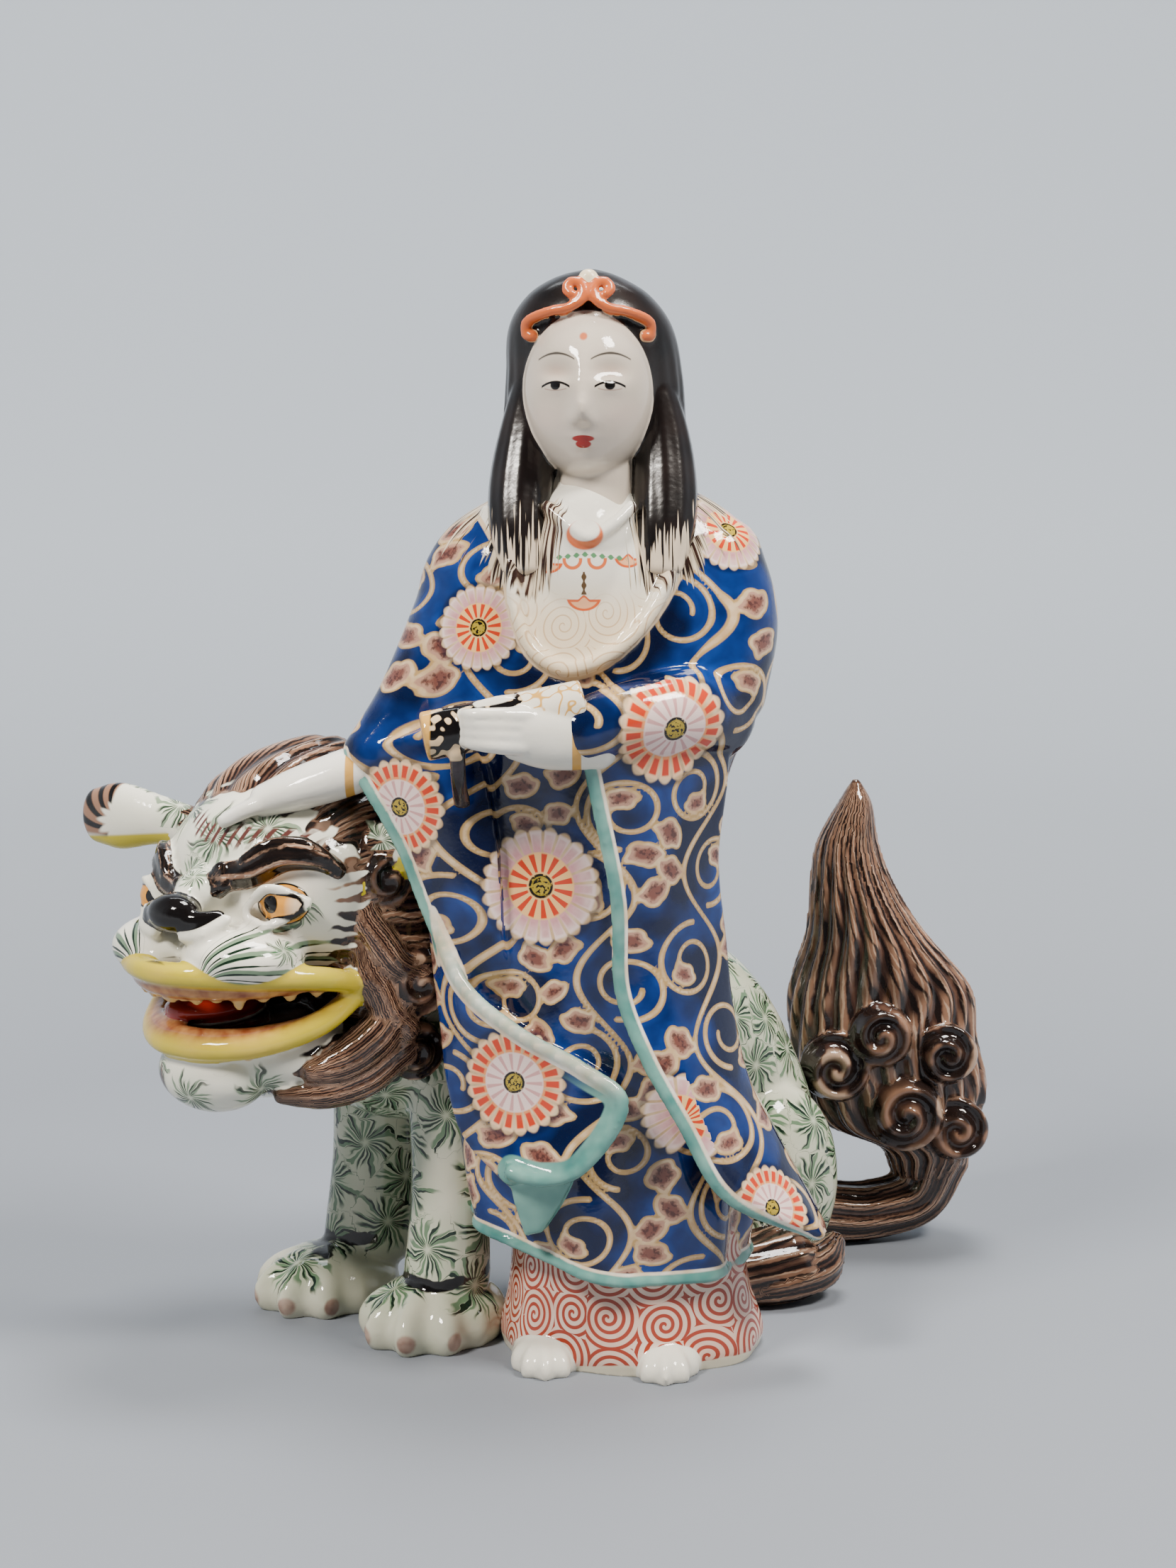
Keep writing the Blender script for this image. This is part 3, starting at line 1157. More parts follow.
def head_egg(source, zone, forward, across, up, radii):
    source.add(zone, egg(on_head(forward, across, up), radii, -LION_HEAD_TURN))


def roll(source, zone, rows):
    """A roll from one corner of the mouth round the front to the other."""
    near = [on_head(f, a, u, s) for f, a, u, s in rows]
    far = [on_head(f, -a, u, s) for f, a, u, s in rows[:-1]]
    source.limb(zone, far + near[::-1], steps=90)


LOCK_RIDGES = 13


def lock(source, stations):
    """A lock of the mane with strands along it."""
    source.limb(MANE, [on_head(*s) for s in stations], sides=84, steps=50,
                **combed(0.4, lambda u, a: LOCK_RIDGES * a + 3 * u))


MOUTH_CENTRE = np.array([0, 25.0, -17.5])
MOUTH_RADII = np.array([28.0, 22.0, 6.5])


def head_places(points):
    """Places on the lion's head: across towards the near side, forward, and up."""
    away = points - LION_HEAD
    return np.stack([away @ NEAR_SIDE, away @ FORWARD, away[..., 2]], -1)


def carve_mouth(points):
    """Pushes what lies in the open mouth to the back of its hollow."""
    across, forward, up = np.moveaxis((head_places(points) - MOUTH_CENTRE) / MOUTH_RADII, -1, 0)
    room = 1 - across ** 2 - up ** 2
    back = -np.sqrt(np.maximum(room, 0))
    push = np.where((room > 0) & (np.abs(forward) < -back), forward - back, 0) * MOUTH_RADII[1]
    return points - push[..., None] * FORWARD


def carved_egg(source, zone, forward, across, up, radii):
    grid = egg(on_head(forward, across, up), radii, -LION_HEAD_TURN, 150, 130)
    source.add(zone, carve_mouth(grid))


# How much lower the eye and the brow on the far side are
EYE_DROP = 2.5
BROW_DROP = 5.5
MOUTH_ROLLS = [
    (LIP, [[3, 31, -13.5, 2.8], [17, 30, -10, 3.1], [33, 20.5, -8.5, 3.1], [41, 9, -8, 3.1],
           [43, 0, -8, 3.1]]),
    (LIP, [[3, 30.5, -15, 2.8], [15, 27.5, -22, 3.2], [28, 18.5, -26.5, 3.2], [35, 8, -27.5, 3.2],
           [36.5, 0, -27.5, 3.2]]),
    (GUM_ZONE, [[7, 28.5, -12.6, 1.6], [17, 28, -11.2, 2.2], [31, 19.3, -11.6, 2.7],
                [38.5, 8.5, -11.6, 2.8], [40.5, 0, -11.6, 2.8]]),
    (GUM_ZONE, [[7, 28.5, -16.2, 1.4], [14.5, 26, -21.4, 2.2], [26.5, 17.3, -24.8, 2.7],
                [33, 8, -25.6, 2.8], [34.5, 0, -25.6, 2.8]]),
]
LIDS = [
    [(27.5, 14.5, 7), (26.8, 21.5, 13.2), (19.5, 29, 9.6)],
    [(28, 15, 5.5), (27, 22, 3.9), (20, 29, 8.6)],
]


def lion_head_source():
    source = Source()
    carved_egg(source, FUR, -2, 0, 8, [34, 30, 29])
    carved_egg(source, FUR, 6, 0, -32, [26, 27, 13.5])
    carved_egg(source, FUR, 25, 0, -36, [16, 12, 10.5])
    head_egg(source, FUR, 20, 0, 10, [9, 15.5, 7.5])
    head_egg(source, NOSE_ZONE, 37.5, 0, 6, [7.8, 5.5, 5])
    for side in (-1, 1):
        half_face(source, side)
    for zone, rows in MOUTH_ROLLS:
        roll(source, zone, rows)
    head_egg(source, TONGUE_ZONE, 20, -5, -20.5, [11, 14, 3.4])
    for _, rows in MOUTH_ROLLS[2:]:
        teeth(source, rows)
    source.limb(FUR, [on_head(2, -27, 20, 5, 5.5), on_head(5, -39, 22, 5, 6.5),
                      on_head(8, -51, 22.5, 5.5, 9), on_head(9, -60, 22, 4.5, 7.5)])
    source.limb(FUR, [on_head(-2, 26, 19, 5, 5.5), on_head(-6, 36, 20, 5, 7.5), on_head(-9, 43, 19, 4, 6)])
    mane(source)
    return source


def half_face(source, side):
    """The muzzle pad, brow, eye, lids and nostril of one side."""
    carved_egg(source, FUR, 26.5, side * 12.5, -5, [16, 15, 8.4])
    brow_ridges(source, side)
    eye_drop = EYE_DROP if side < 0 else 0
    head_egg(source, EYE_ZONE, 21.5, side * 22, 8.5 - eye_drop, [6.2, 5, 4.4])
    for lid in LIDS:
        source.limb(FUR, [on_head(f, side * a, u - eye_drop, 1.2) for f, a, u in lid], sides=16)
    source.limb(NOSE_ZONE, [on_head(39, side * 3, 4.5, 2.6), on_head(37.5, side * 8, 5, 2.4),
                            on_head(33.5, side * 12, 6.5, 1.4)], sides=20)
    source.limb(FUR, [on_head(39.5, side * 5, 0.8, 1.5), on_head(37.5, side * 10.5, 2.0, 1.8),
                      on_head(33, side * 14.5, 5.5, 1.3)], sides=16)


TEETH = 8
FANG = 3


def teeth(source, rows):
    """Teeth along the roll of one gum, on both sides of the front."""
    down = -1 if rows[0][2] > MOUTH_CENTRE[2] else 1
    for side in (-1, 1):
        path = [on_head(f - 1, side * (a - 0.5), u + 2.1 * down) for f, a, u, _ in rows[1:]]
        for n, spot in enumerate(curve_points(path, np.linspace(0, 0.95, TEETH))):
            long = 3.8 if n == FANG else 2.0 + 0.6 * (n % 2)
            source.add(TOOTH, egg(spot, [1.8, 1.8, long], sides=16, rings=10))


BROW_STROKES = [
    [[27, 8, 15, 3, 3.4], [25, 14, 16.5, 3.4, 3.6], [20.5, 21, 20.5, 3.6, 3.6], [14.5, 27, 19.5, 2.6, 2.8],
     [10, 30, 16, 1.6, 1.8]],
    [[29, 8, 17.5, 1.6, 1.6], [28.5, 5.5, 14.5, 1.8, 1.8], [29.5, 7.5, 11.5, 1.7, 1.7],
     [29.5, 10.5, 13, 1.3, 1.3]],
    [[27, 14, 19, 1.6, 1.8], [23, 19.5, 23, 1.9, 2.1], [17, 25.5, 23, 1.6, 1.8], [12.5, 29.5, 19, 1, 1.2]],
]


def brow_ridges(source, side):
    """An angry brow: a roll that rises outwards, with a curl over the nose and a second crest on it."""
    drop = BROW_DROP if side < 0 else 0
    for rows in BROW_STROKES:
        source.limb(BROW, [on_head(f, side * a, u - drop, *sizes) for f, a, u, *sizes in rows], sides=48,
                    **combed(0.35, lambda u, a: 5 * a + 4 * u))


RUFF_RIDGES = 34


def ruff_phase(u, a):
    return RUFF_RIDGES * a + 4 * np.sin(4 * u + 2 * np.sin(2 * a)) + 1.5 * np.sin(5 * a)


LOCKS = [
    [[3, 30, 9, 3, 3.5], [1, 33, 0, 5, 4.5], [-3, 36, -8, 5.5, 4.5], [-9, 40, -12, 3, 3]],
    [[4, 31.5, -4, 2.5, 3], [2, 33.5, -12, 4, 4], [-1, 35, -20, 4.5, 4], [-6, 38, -26, 3.5, 3.5]],
    [[16, 24.5, -35, 2, 2.5], [9, 29, -33, 4.5, 5], [1, 33, -27, 6, 5.5], [-5, 36, -19, 4, 4]],
    [[20, 18, -41, 2, 2], [11, 25, -40.5, 4.5, 4.5], [1, 30, -37, 6, 5.5], [-7, 35, -31, 4.5, 4.5]],
]


def mane(source):
    """The ruff behind the face, and the locks and curls on both of its sides."""
    source.limb(MANE, [on_head(8, 0, 0, 30, 35), on_head(-2, 0, 1, 37, 42), on_head(-14, 0, 0, 39, 45),
                       on_head(-26, 0, -2, 36, 40), on_head(-38, 0, -6, 28, 33)], sides=400, steps=50,
                finer=3.5, domes=(0.1, 0.4), **combed(0.9, ruff_phase))
    for side in (-1, 1):
        facing = side * NEAR_SIDE + 0.5 * FORWARD
        for forward, across, up, size in ((-2, 34, 13, 7), (-9, 38, -14, 8.5), (-11, 35, -32, 8)):
            source.add(MANE, *curl(on_head(forward, side * across, up), facing, size * 1.05))
        for stations in LOCKS:
            lock(source, [[forward, side * across, *rest] for forward, across, *rest in stations])


def tufts_colour(paint, ground, strength=1.0):
    """Green and black strokes that spread from the heart of each tuft of fur."""
    x, y, reach = paint.fields("tuft")
    around = paint.angle(x, y) + reach * 0.5 + paint.noise(160.0) * 0.35
    long = 0.66 + paint.cos(around * 7.0 + 1.0) * 0.17 + paint.cos(around * 11.0) * 0.17
    near = paint.inside(reach - long, 0.12) * paint.above(reach, 0.1, 0.08)
    wash = paint.over(ground, (0.34, 0.47, 0.28), paint.inside(reach - 0.75, 0.45) * 0.35 * strength)
    green = paint.above(paint.cos(around * 19.0) - reach * 0.4, -0.45, 0.25)
    colour = paint.over(wash, GREEN, green * near * 0.8 * strength)
    black = paint.above(paint.cos(around * 23.0 + 2.0) - reach * 0.4, 0.05, 0.18)
    black = black * near * paint.above(paint.cos(around * 5.0), -0.5, 0.3)
    return paint.over(colour, DARK_GREEN, black * strength)


def striped(paint, ridge, strand, count):
    """Brown strands: dark in the grooves, tan on the ridges, with fine lines along them."""
    wander = paint.noise(70.0) * 5.0
    fine = paint.cos(strand * count + wander)
    thin = paint.cos(strand * (1.7 * count) - wander * 1.3)
    colour = paint.over(BROWN, TAN, paint.ramp(ridge + fine * 0.7, -0.5, 0.9, True))
    colour = paint.over(colour, PALE_TAN, paint.ramp(ridge * 0.6 + thin, 0.75, 1.3, True) * 0.75)
    colour = paint.over(colour, BLACK, paint.above(fine * -1.0 - ridge * 0.35, 0.45, 0.3) * 0.85)
    return paint.over(colour, BLACK, paint.noise(55.0, low=0.52, high=0.64) * 0.55)


def whiskers(paint, colour, across, up):
    """Long bowed strokes that fan from a root over each half of the upper lip."""
    out = paint.size(across - 2.5) - 10.5
    reach = paint.length(out, up + 10.0)
    around = paint.angle(out, up + 10.0) + reach * 0.035
    fan = paint.above(around, 0.2, 0.08) * paint.inside(around - 1.75, 0.08) * paint.above(reach, 1.0, 0.5)
    taper = (reach - 8.0) * (reach - 8.0) * 0.008 + paint.noise(150.0) * 0.5
    green = paint.above(paint.cos(around * 17.0) - taper, 0.0, 0.2)
    colour = paint.over(colour, GREEN, green * fan * 0.85)
    black = paint.above(paint.cos(around * 34.0 + 1.4) - taper, 0.35, 0.15)
    return paint.over(colour, DARK_GREEN, black * fan)


def lion_head_material():
    paint = Paint("painted_lion_head")
    mane_zone, lip, gum = paint.fields("zones_a")
    nose, eye, tongue = paint.fields("zones_b")
    brow, tooth, dark = paint.fields("zones_c")
    ridge, strand, ear = paint.fields("strands")
    across, up, forward = paint.fields("head")
    colour = tufts_colour(paint, paint.over((0.85, 0.81, 0.71), (0.75, 0.75, 0.63), paint.noise(50.0)), 0.9)
    colour = whiskers(paint, colour, across, up)
    ragged = paint.cos(up * 1.5 + forward * 0.5 + paint.noise(60.0) * 9.0) * 1.5 + paint.noise(170.0) * 2.6
    hair = striped(paint, ridge, strand, 40.0)
    colour = paint.fill(colour, hair, mane_zone + ragged - 2.2, 0.5)
    beard = paint.most(across + 7.0, up + 35.0 + paint.cos(across * 2.5) * 1.5)
    bristles = striped(paint, paint.cos(across * 2.2), strand, 12.0)
    colour = paint.fill(colour, bristles, beard, 1.0)
    colour = paint.over(colour, (0.10, 0.035, 0.03), forehead_comb(paint, across, up, forward))
    eyebrow = paint.over(striped(paint, ridge, strand, 9.0), BLACK, paint.inside(ridge - 0.55, 0.3) * 0.92)
    eyebrow = paint.over(eyebrow, (0.62, 0.55, 0.48), paint.above(ridge, 0.93, 0.05) * 0.8)
    colour = paint.fill(colour, eyebrow, brow, 0.2)
    colour = ear_colour(paint, colour, across, up, ear)
    lips = paint.over(YELLOW, (0.62, 0.46, 0.06), paint.noise(70.0))
    colour = paint.fill(colour, lips, lip, 0.25)
    gums = paint.over(GUM, (0.24, 0.06, 0.02), paint.noise(260.0))
    colour = paint.fill(colour, gums, gum - 1.1, 1.7)
    colour = paint.fill(colour, (0.60, 0.38, 0.14), tooth, 0.3)
    colour = paint.fill(colour, TONGUE, tongue, 0.2)
    colour = paint.fill(colour, (0.01, 0.006, 0.005), dark, 0.6)
    arc = paint.size(paint.length(across, (up + 10.5) * 1.4) - 7.0) - 0.75
    arc = paint.most(arc, -5.4 - up) + paint.inside(forward - 36.0, 1.0) * 3.0
    colour = paint.over(colour, BLACK, paint.inside(arc, 0.3) * 0.9)
    colour = paint.fill(colour, BLACK, nose, 0.2)
    return paint.glaze(eye_colour(paint, colour, eye, across, up, forward))


def forehead_comb(paint, across, up, forward):
    """A bowed row of short strokes over the forehead, as a mask."""
    row = paint.size(forward - 22.5 + (across - 2.0) * (across - 2.0) * 0.0227) - 2.6
    comb = paint.above(paint.cos(across * 2.4 + forward * 0.8), 0.25, 0.3) * paint.above(up, 20.0, 1.0)
    comb = comb * paint.inside(paint.size(across - 6.0) - 19.0, 1.0)
    return comb * paint.inside(row + paint.noise(200.0) * 2.0, 0.8)


def ear_colour(paint, colour, across, up, ear):
    """Yellow inside the ears, and a striped tip on the far one."""
    colour = paint.fill(colour, YELLOW, ear, 0.5)
    bow = paint.length(across + 46.0, (up - 22.0) * 1.3)
    around = paint.angle(across + 46.0, up - 22.0) * 17.0
    edge = bow + paint.cos(around) * 1.3 + (up - 20.0) * 0.25
    tip = paint.above(edge, 8.0, 1.2) * paint.inside(across + 50.0, 0.5)
    stripes = paint.above(paint.cos(around + bow * 0.6), 0.1, 0.5)
    return paint.over(colour, paint.over(TAN, BLACK, stripes), tip * paint.above(up, 17.5, 0.8))


def eye_colour(paint, colour, eye, across, up, forward):
    from_eye = paint.size(paint.size(across) - 22.0)
    iris = paint.over((0.70, 0.30, 0.04), (0.76, 0.56, 0.36), paint.ramp(from_eye, 3.6, 5.6))
    colour = paint.fill(colour, BLACK, eye - 0.7, 0.25)
    colour = paint.fill(colour, iris, eye, 0.15)
    look = paint.size(across - 0.8) - 21.2
    pupil = paint.length(look, up - 9.0 + paint.inside(across, 1.0) * EYE_DROP) - 2.2
    front = paint.above(forward, 17.0, 1.0)
    return paint.over(colour, BLACK, paint.inside(pupil, 0.15) * paint.inside(eye, 0.3) * front)


# Tufts of the head: forward, across, up and radius
HEAD_TUFTS = [
    (27, 31, 1, 5), (31, 1, 13, 5), (20, 33, -3, 6), (24, 0, 24, 11), (19, 14, 27, 9), (14, -17, 27, 10),
    (4, 36, 25, 9), (4, -33, 24, 9), (19, 27, 6, 6), (34, 2, -40, 8), (24, 17, -40, 8), (34, -10, -34, 7),
    (5, -46, 26, 9), (30, -6, 18, 7),
]
EAR_START = 33


def make_lion_head():
    piece = Piece("painted_lion_head", lion_head_source(), voxel=0.85, softening=3)
    zones = (FUR, MANE, LIP, GUM_ZONE, NOSE_ZONE, EYE_ZONE, TONGUE_ZONE, BROW, TOOTH)
    near = piece.distances(*zones)

    def field(zone):
        return edge_field(near[zone] - np.min([near[z] for z in zones if z != zone], axis=0), 4)

    places = head_places(piece.points)
    across, forward, up = places.T
    out = np.abs(across)
    piece.store("zones_a", field(MANE), field(LIP), field(GUM_ZONE))
    piece.store("zones_b", field(NOSE_ZONE), field(EYE_ZONE), field(TONGUE_ZONE))
    bare = np.min([near[zone] for zone in (TONGUE_ZONE, LIP, GUM_ZONE, TOOTH)], axis=0)
    depth = np.linalg.norm((places - MOUTH_CENTRE) / MOUTH_RADII, axis=1)
    dark = np.max([(depth - 1.45) * 8, 1.0 - bare, out - 29], axis=0)
    piece.store("zones_c", field(BROW), field(TOOTH), edge_field(dark))
    on_ear = (out > EAR_START) & (near[FUR] < near[MANE])
    inner_ear = np.where(on_ear, (up - 18.0) + 0.1 * out - 4.9, 3.0)
    piece.store("strands", *piece.nearest_values().T, edge_field(inner_ear))
    piece.store("head", across, up, forward)
    tree = piece.surface()
    discs = []
    for f, a, u, radius in HEAD_TUFTS:
        spot, normal, _, _ = tree.find_nearest(Vector(on_head(f, a, u)))
        discs.append((np.array(spot), np.array(normal), radius, 0, rng.uniform(0, TURN)))
    place, reach, _ = local_discs(piece, discs)
    piece.store("tuft", place[:, 0], place[:, 1], reach)
    piece.finish(lion_head_material())


# The lion's body and legs

REARWARD = np.array([math.sin(LION_BODY_TURN), math.cos(LION_BODY_TURN), 0])
BODY_NEAR = np.array([math.cos(LION_BODY_TURN), -math.sin(LION_BODY_TURN), 0])
BODY_FUR, TUFTED = range(2)


def on_rump(rearward, across, up, *sizes):
    return [*(RUMP + rearward * REARWARD + across * BODY_NEAR + up * UP), *sizes]


PAWS = [([-51, 8, 0], 36, 0.95), ([-82, 36, 0], 46, 0.93), (on_rump(-28, -31, 0), 62, 0.8)]


def lion_body_source():
    source = Source()
    source.limb(BODY_FUR, [[-70, 20, 98, 22, 26], [-60, 25, 90, 28, 35], [-38, 36, 84, 26, 31],
                           [-8, 51, 79, 25, 27], [15, 64, 68, 25, 27], [32, 73, 48, 22, 20],
                           [43, 78, 25, 18, 15]], sides=60, steps=60)
    for side in (-1, 1):
        source.add(BODY_FUR, egg(on_rump(3, side * 18, 28), [14, 20, 28], -LION_BODY_TURN))
    source.limb(BODY_FUR, [[-48, 16, 84, 13, 14], [-47, 10, 60, 11, 12], [-47, 9, 38, 10.4, 11],
                           [-48, 9, 16, 11.5, 12]], up=(0, 1, 0))
    source.limb(BODY_FUR, [[-67, 44, 84, 13, 14], [-68.5, 45, 60, 12.5, 12.5], [-69, 45, 38, 12.5, 11.5],
                           [-71, 44, 16, 13, 12]], up=(0, 1, 0))
    source.limb(TUFTED, [on_rump(-3, 34, 10, 13, 10), on_rump(-18, 33, 8, 10.5, 8.5),
                         on_rump(-32, 30, 6, 9, 7)], sides=96, **combed(0.5, lambda u, a: 12 * a + 4 * u))
    source.limb(BODY_FUR, [on_rump(-2, -28, 12, 12, 12), on_rump(-20, -31, 8, 10, 9)])
    for centre, pointing, size in PAWS:
        spot = np.array(centre) + [0, 0, 5 * size]
        radii = np.array([19, 22, 12]) * size
        source.add(BODY_FUR, egg(spot, radii, -math.radians(pointing), 160, 60,
                                 lambda ball, size=size: toe_ridges(ball, 2.0 * size, 10, -1)))
    source.limb(TUFTED, [on_rump(12, 37, 14, 3, 3), on_rump(4, 40, 9, 7, 6), on_rump(-8, 41, 6, 6, 5),
                         on_rump(-20, 38, 4, 3, 3)], sides=72, **combed(0.7, lambda u, a: 8 * a + 3 * u))
    return source


def lion_body_material():
    paint = Paint("painted_lion_body")
    tufted, band, claw = paint.fields("zones")
    ridge, strand, _ = paint.fields("strands")
    colour = tufts_colour(paint, paint.over((0.48, 0.49, 0.37), (0.66, 0.64, 0.51), paint.noise(50.0)))
    tuft = paint.over(striped(paint, ridge, strand, 24.0), BLACK, 0.45)
    colour = paint.fill(colour, tuft, tufted, 0.3)
    colour = paint.fill(colour, BLACK, band + paint.noise(150.0) * 2.4 - 1.0, 0.3)
    nail = paint.over((0.22, 0.12, 0.09), (0.50, 0.38, 0.30), paint.noise(200.0))
    colour = paint.fill(colour, nail, claw, 0.35)
    return paint.glaze(colour)


NO_PAW = 3.0
TOES = (-54, -18, 18, 54)
TUFT_GAP = 13
TUFT_RADIUS = 11.5
TUFT_TRIES = 6000


def paw_fields(points):
    """Distances to the dark band over each paw and to the claws in front of its toes."""
    band = np.full(len(points), NO_PAW)
    claw = np.full(len(points), NO_PAW)
    for centre, pointing, size in PAWS:
        x, y, z = turned(points - np.array(centre), math.radians(pointing)).T / size
        on_leg = (np.hypot(x, y - 3) < 20) & (y < 8)
        band = np.where(on_leg, np.minimum(band, np.abs(z - 18.5 - 0.12 * y) - 1.6), band)
        around = np.arctan2(x, -y)
        in_front = (np.hypot(x, y) < 26) & (y < 0)
        for toe in TOES:
            reach = np.hypot((around - math.radians(toe)) * 20 / 1.3, (z - 4) / 1.6) - 1.7
            claw = np.where(in_front, np.minimum(claw, reach), claw)
    return band, edge_field(claw)


def spread_points(piece):
    """Points of the piece above its paws, picked at random but not close to each other."""
    chosen = []
    for n in rng.permutation(len(piece.points))[:TUFT_TRIES]:
        spot = piece.points[n]
        if spot[2] > TUFT_GAP and all(np.linalg.norm(spot - piece.points[m]) > TUFT_GAP for m in chosen):
            chosen.append(n)
    return chosen


def make_lion_body():
    piece = Piece("painted_lion_body", lion_body_source(), voxel=1.0, softening=4)
    piece.flatten_below_floor()
    near = piece.distances(BODY_FUR, TUFTED)
    strands = piece.nearest_values().T
    piece.store("zones", edge_field(near[TUFTED] - near[BODY_FUR]), *paw_fields(piece.points))
    piece.store("strands", *strands)
    chosen = spread_points(piece)
    discs = [(piece.points[n], piece.normals[n], TUFT_RADIUS, 0, rng.uniform(0, TURN)) for n in chosen]
    place, reach, _ = local_discs(piece, discs, 0.0)
    piece.store("tuft", place[:, 0], place[:, 1], reach)
    piece.finish(lion_body_material())


# The tail

FLAME = [
    [20, 79, 98, 10, 10], [28, 75, 103, 13, 12], [34, 60, 104.5, 15, 14], [40, 54, 105, 17.5, 16.5],
    [47, 51, 106, 19, 18], [60, 49, 103, 19, 17], [75, 48.5, 101, 17, 15.5], [92, 53.5, 87, 14, 12.5],
    [106, 54.5, 78, 11, 10], [118, 56, 73.5, 8, 8], [130, 62, 71.5, 5, 5], [136.6, 66, 68, 1, 1],
]
TAIL_Y = 93
FLAME_RIDGES = 22
FLAME_SIDES = 300


def flame_phase(z, angle):
    return FLAME_RIDGES * angle + 5 * np.sin(z / 24) + 1.5 * np.sin(3 * angle + z / 11)


def flame_section(z, angle):
    left, right, _, _ = smooth_rows(FLAME, z)[0]
    strand = min(0.9, (right - left) / 26) * np.cos(flame_phase(z, angle))
    return oval_ring(FLAME, z, angle, strand, TAIL_Y)


def tail_source():
    source = Source()
    heights = np.linspace(FLAME[0][0], FLAME[-1][0], 110)
    angle = np.linspace(0, TURN, FLAME_SIDES + 1)[None]
    ridge = np.cos(flame_phase(heights[:, None], angle))
    source.add(0, stack(heights, FLAME_SIDES, flame_section), ridge, angle + 0 * heights[:, None])
    source.limb(0, [[46, 82, 12, 10, 10], [58, 86, 9.5, 9, 9], [72, 89, 9, 8.5, 8.5], [86, 92, 13, 9, 9],
                    [92, 93, 25, 10, 10]], sides=96, **combed(0.6, lambda u, a: 10 * a + 4 * u))
    front = [[60.5, 78, 55, 10], [73, 75, 65, 8.5], [92.5, 77, 59, 8.5], [80.5, 76, 42, 10.5],
             [96, 80, 36, 9]]
    for n, (x, y, z, size) in enumerate(front):
        source.add(0, *curl([x, y, z], [0, -1, 0], size * 1.08, 1 if n % 2 else -1))
    source.add(0, *curl([100, 92, 45], [1, 0, 0], 9.2))
    for x, y, z, size in [[63, 109, 52, 9.5], [84, 110, 60, 10], [82, 108, 38, 9.5]]:
        source.add(0, *curl([x, y, z], [0, 1, 0], size * 1.08))
    return source


def make_tail():
    piece = Piece("painted_tail", tail_source(), voxel=0.75, softening=3)
    piece.flatten_below_floor()
    piece.store("strands", *piece.nearest_values().T, piece.points[:, 2])
    paint = Paint("painted_tail")
    ridge, strand, height = paint.fields("strands")
    colour = striped(paint, ridge, strand, 44.0)
    dark = paint.inside(height - 66.0, 12.0) * 0.4 * paint.inside(ridge - 0.6, 0.5)
    piece.finish(paint.glaze(paint.over(colour, (0.02, 0.012, 0.01), dark)))


# Stage: a pale sweep of paper, soft light and the camera

# The sweep, in metres
FLOOR_RADIUS = 1.0
BEND_RADIUS = 0.9
WALL_TOP = 3.2
SWEEP_SIDES = 96


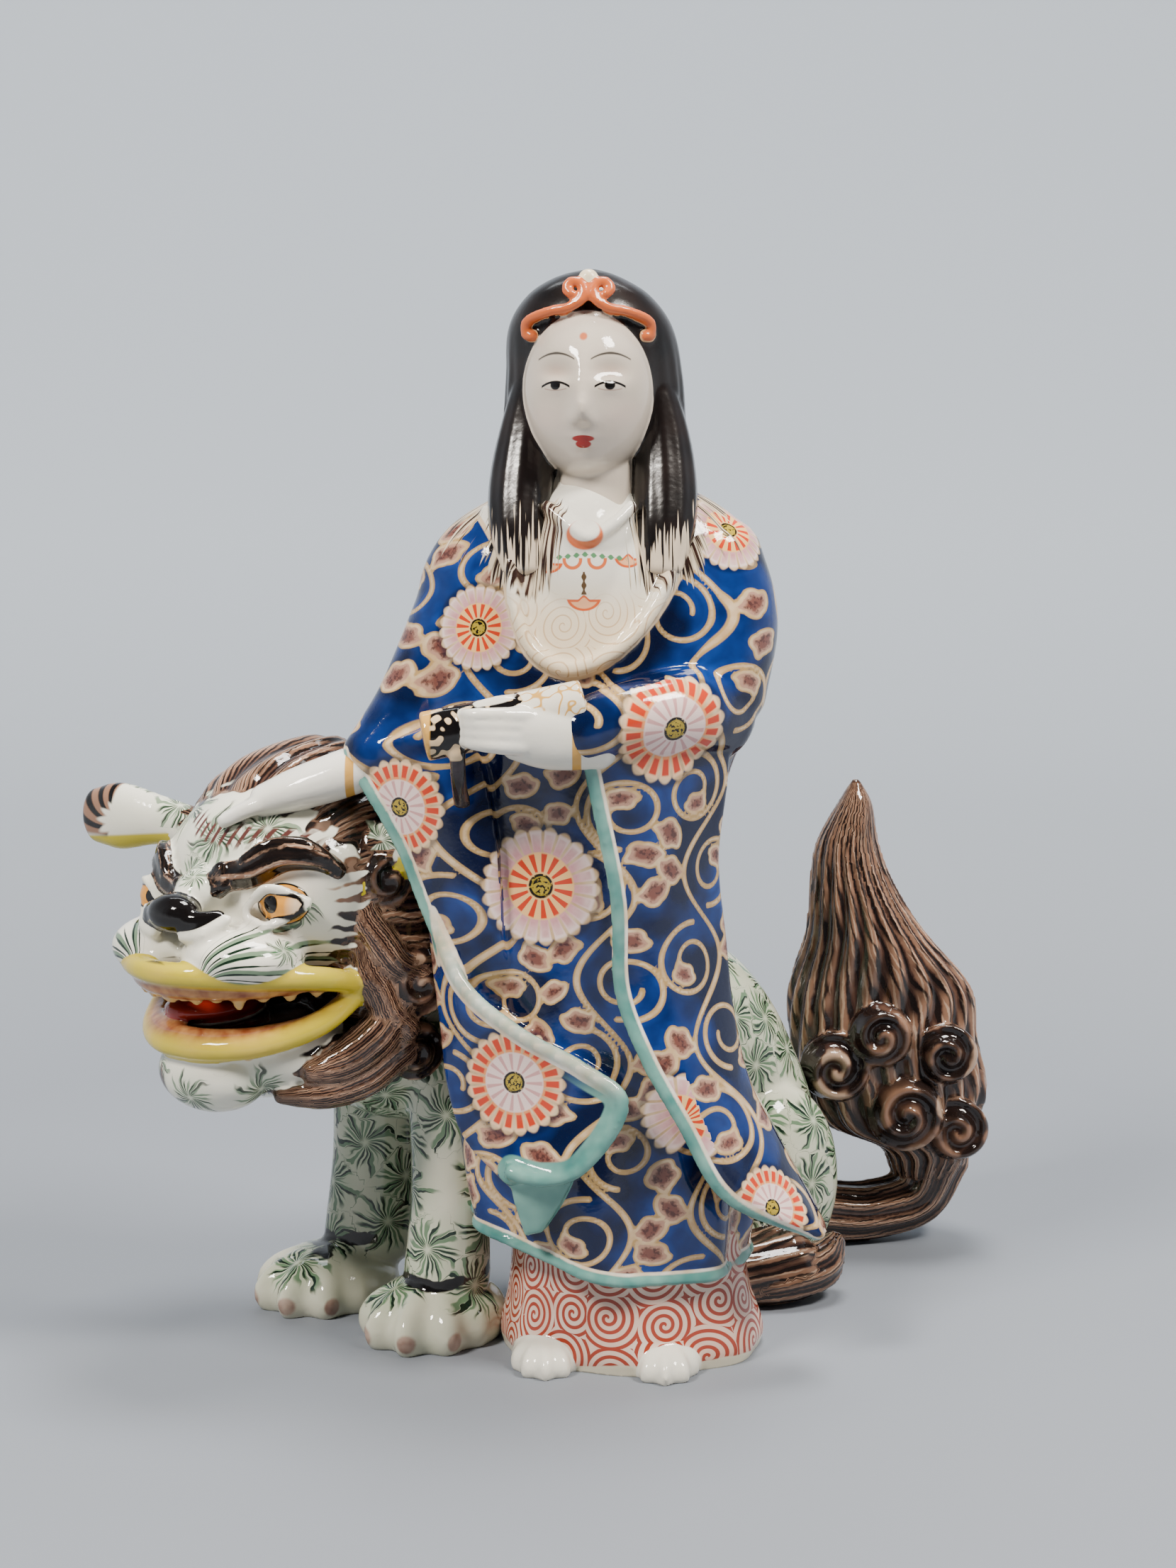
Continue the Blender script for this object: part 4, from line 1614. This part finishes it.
def make_stage():
    """A round floor that bends up into a wall, darker on the camera's side."""
    arc = np.linspace(0, math.pi / 2, 20)
    bend = [(FLOOR_RADIUS + BEND_RADIUS * math.sin(a), BEND_RADIUS * (1 - math.cos(a))) for a in arc]
    profile = [(0.02, 0.0), *bend, (FLOOR_RADIUS + BEND_RADIUS, WALL_TOP)]
    around = np.linspace(0, TURN, SWEEP_SIDES, endpoint=False)
    points = [(r * math.sin(a), r * math.cos(a), z) for r, z in profile for a in around] + [(0.0, 0.0, 0.0)]
    faces = []
    for low in range(0, (len(profile) - 1) * SWEEP_SIDES, SWEEP_SIDES):
        high = low + SWEEP_SIDES
        for k in range(SWEEP_SIDES):
            after = (k + 1) % SWEEP_SIDES
            faces.append((low + k, low + after, high + after, high + k))
    faces += [(k, len(points) - 1, (k + 1) % SWEEP_SIDES) for k in range(SWEEP_SIDES)]
    mesh = bpy.data.meshes.new("sweep")
    mesh.from_pydata(points, [], faces)
    mesh.polygons.foreach_set("use_smooth", np.ones(len(faces), bool))
    sweep = placed("sweep", mesh)
    paint = Paint("paper")
    x, y, _ = paint.split(paint.place())
    colour = paint.over((0.205, 0.225, 0.26), (0.50, 0.54, 0.59), paint.ramp(paint.length(x, y), 0.3, 1.5))
    colour = paint.over(colour, (0.07, 0.075, 0.085), paint.ramp(y * -1.0, 0.5, 1.2))
    paint.feed(paint.shader.inputs["Base Color"], colour)
    paint.feed(paint.shader.inputs["Roughness"], 0.6)
    mesh.materials.append(paint.material)


def area_light(name, spot, target, size, power, colour):
    data = bpy.data.lights.new(name, "AREA")
    data.shape = "RECTANGLE"
    data.size, data.size_y = size
    data.energy = power
    data.color = colour
    lamp = placed(name, data)
    lamp.location = spot
    lamp.rotation_euler = (Vector(target) - Vector(spot)).to_track_quat("-Z", "Y").to_euler()


MIDDLE_SPOT = (0, 0, 0.12)
WARM = (1, 0.94, 0.86)


def make_lights():
    area_light("key", (0.75, -0.5, 1.2), MIDDLE_SPOT, size=(0.35, 0.35), power=28, colour=WARM)
    area_light("fill", (-0.7, -0.75, 1.15), MIDDLE_SPOT, size=(0.3, 0.3), power=28, colour=WARM)
    area_light("top", (0.15, 0.2, 1.5), MIDDLE_SPOT, size=(0.5, 0.4), power=24, colour=(1, 0.97, 0.93))
    area_light("wash", (0, 0.9, 1.6), (0, 1.9, 0.5), size=(1.5, 0.5), power=14, colour=(0.93, 0.97, 1))
    world = bpy.data.worlds.new("room")
    world.use_nodes = True
    background = world.node_tree.nodes["Background"]
    background.inputs["Color"].default_value = (0.72, 0.74, 0.78, 1)
    background.inputs["Strength"].default_value = 0.15
    bpy.context.scene.world = world


CAMERA_SPOT = np.array([-10.8, -650.0, 233.0])
CAMERA_PITCH = math.radians(7.5)
IMAGE_HEIGHT = 2212
FOCAL_PIXELS = 3640
SENSOR = 36.0


def make_camera():
    data = bpy.data.cameras.new("camera")
    data.sensor_width = SENSOR
    data.lens = SENSOR * FOCAL_PIXELS / IMAGE_HEIGHT
    data.clip_start = 0.01
    camera = placed("camera", data)
    camera.location = (CAMERA_SPOT - MIDDLE) * MM
    camera.rotation_euler = (math.pi / 2 - CAMERA_PITCH, 0, 0)
    bpy.context.scene.camera = camera


make_camera()
make_stage()
make_lights()
make_robe()
make_head()
make_hands()
make_lion_head()
make_lion_body()
make_tail()
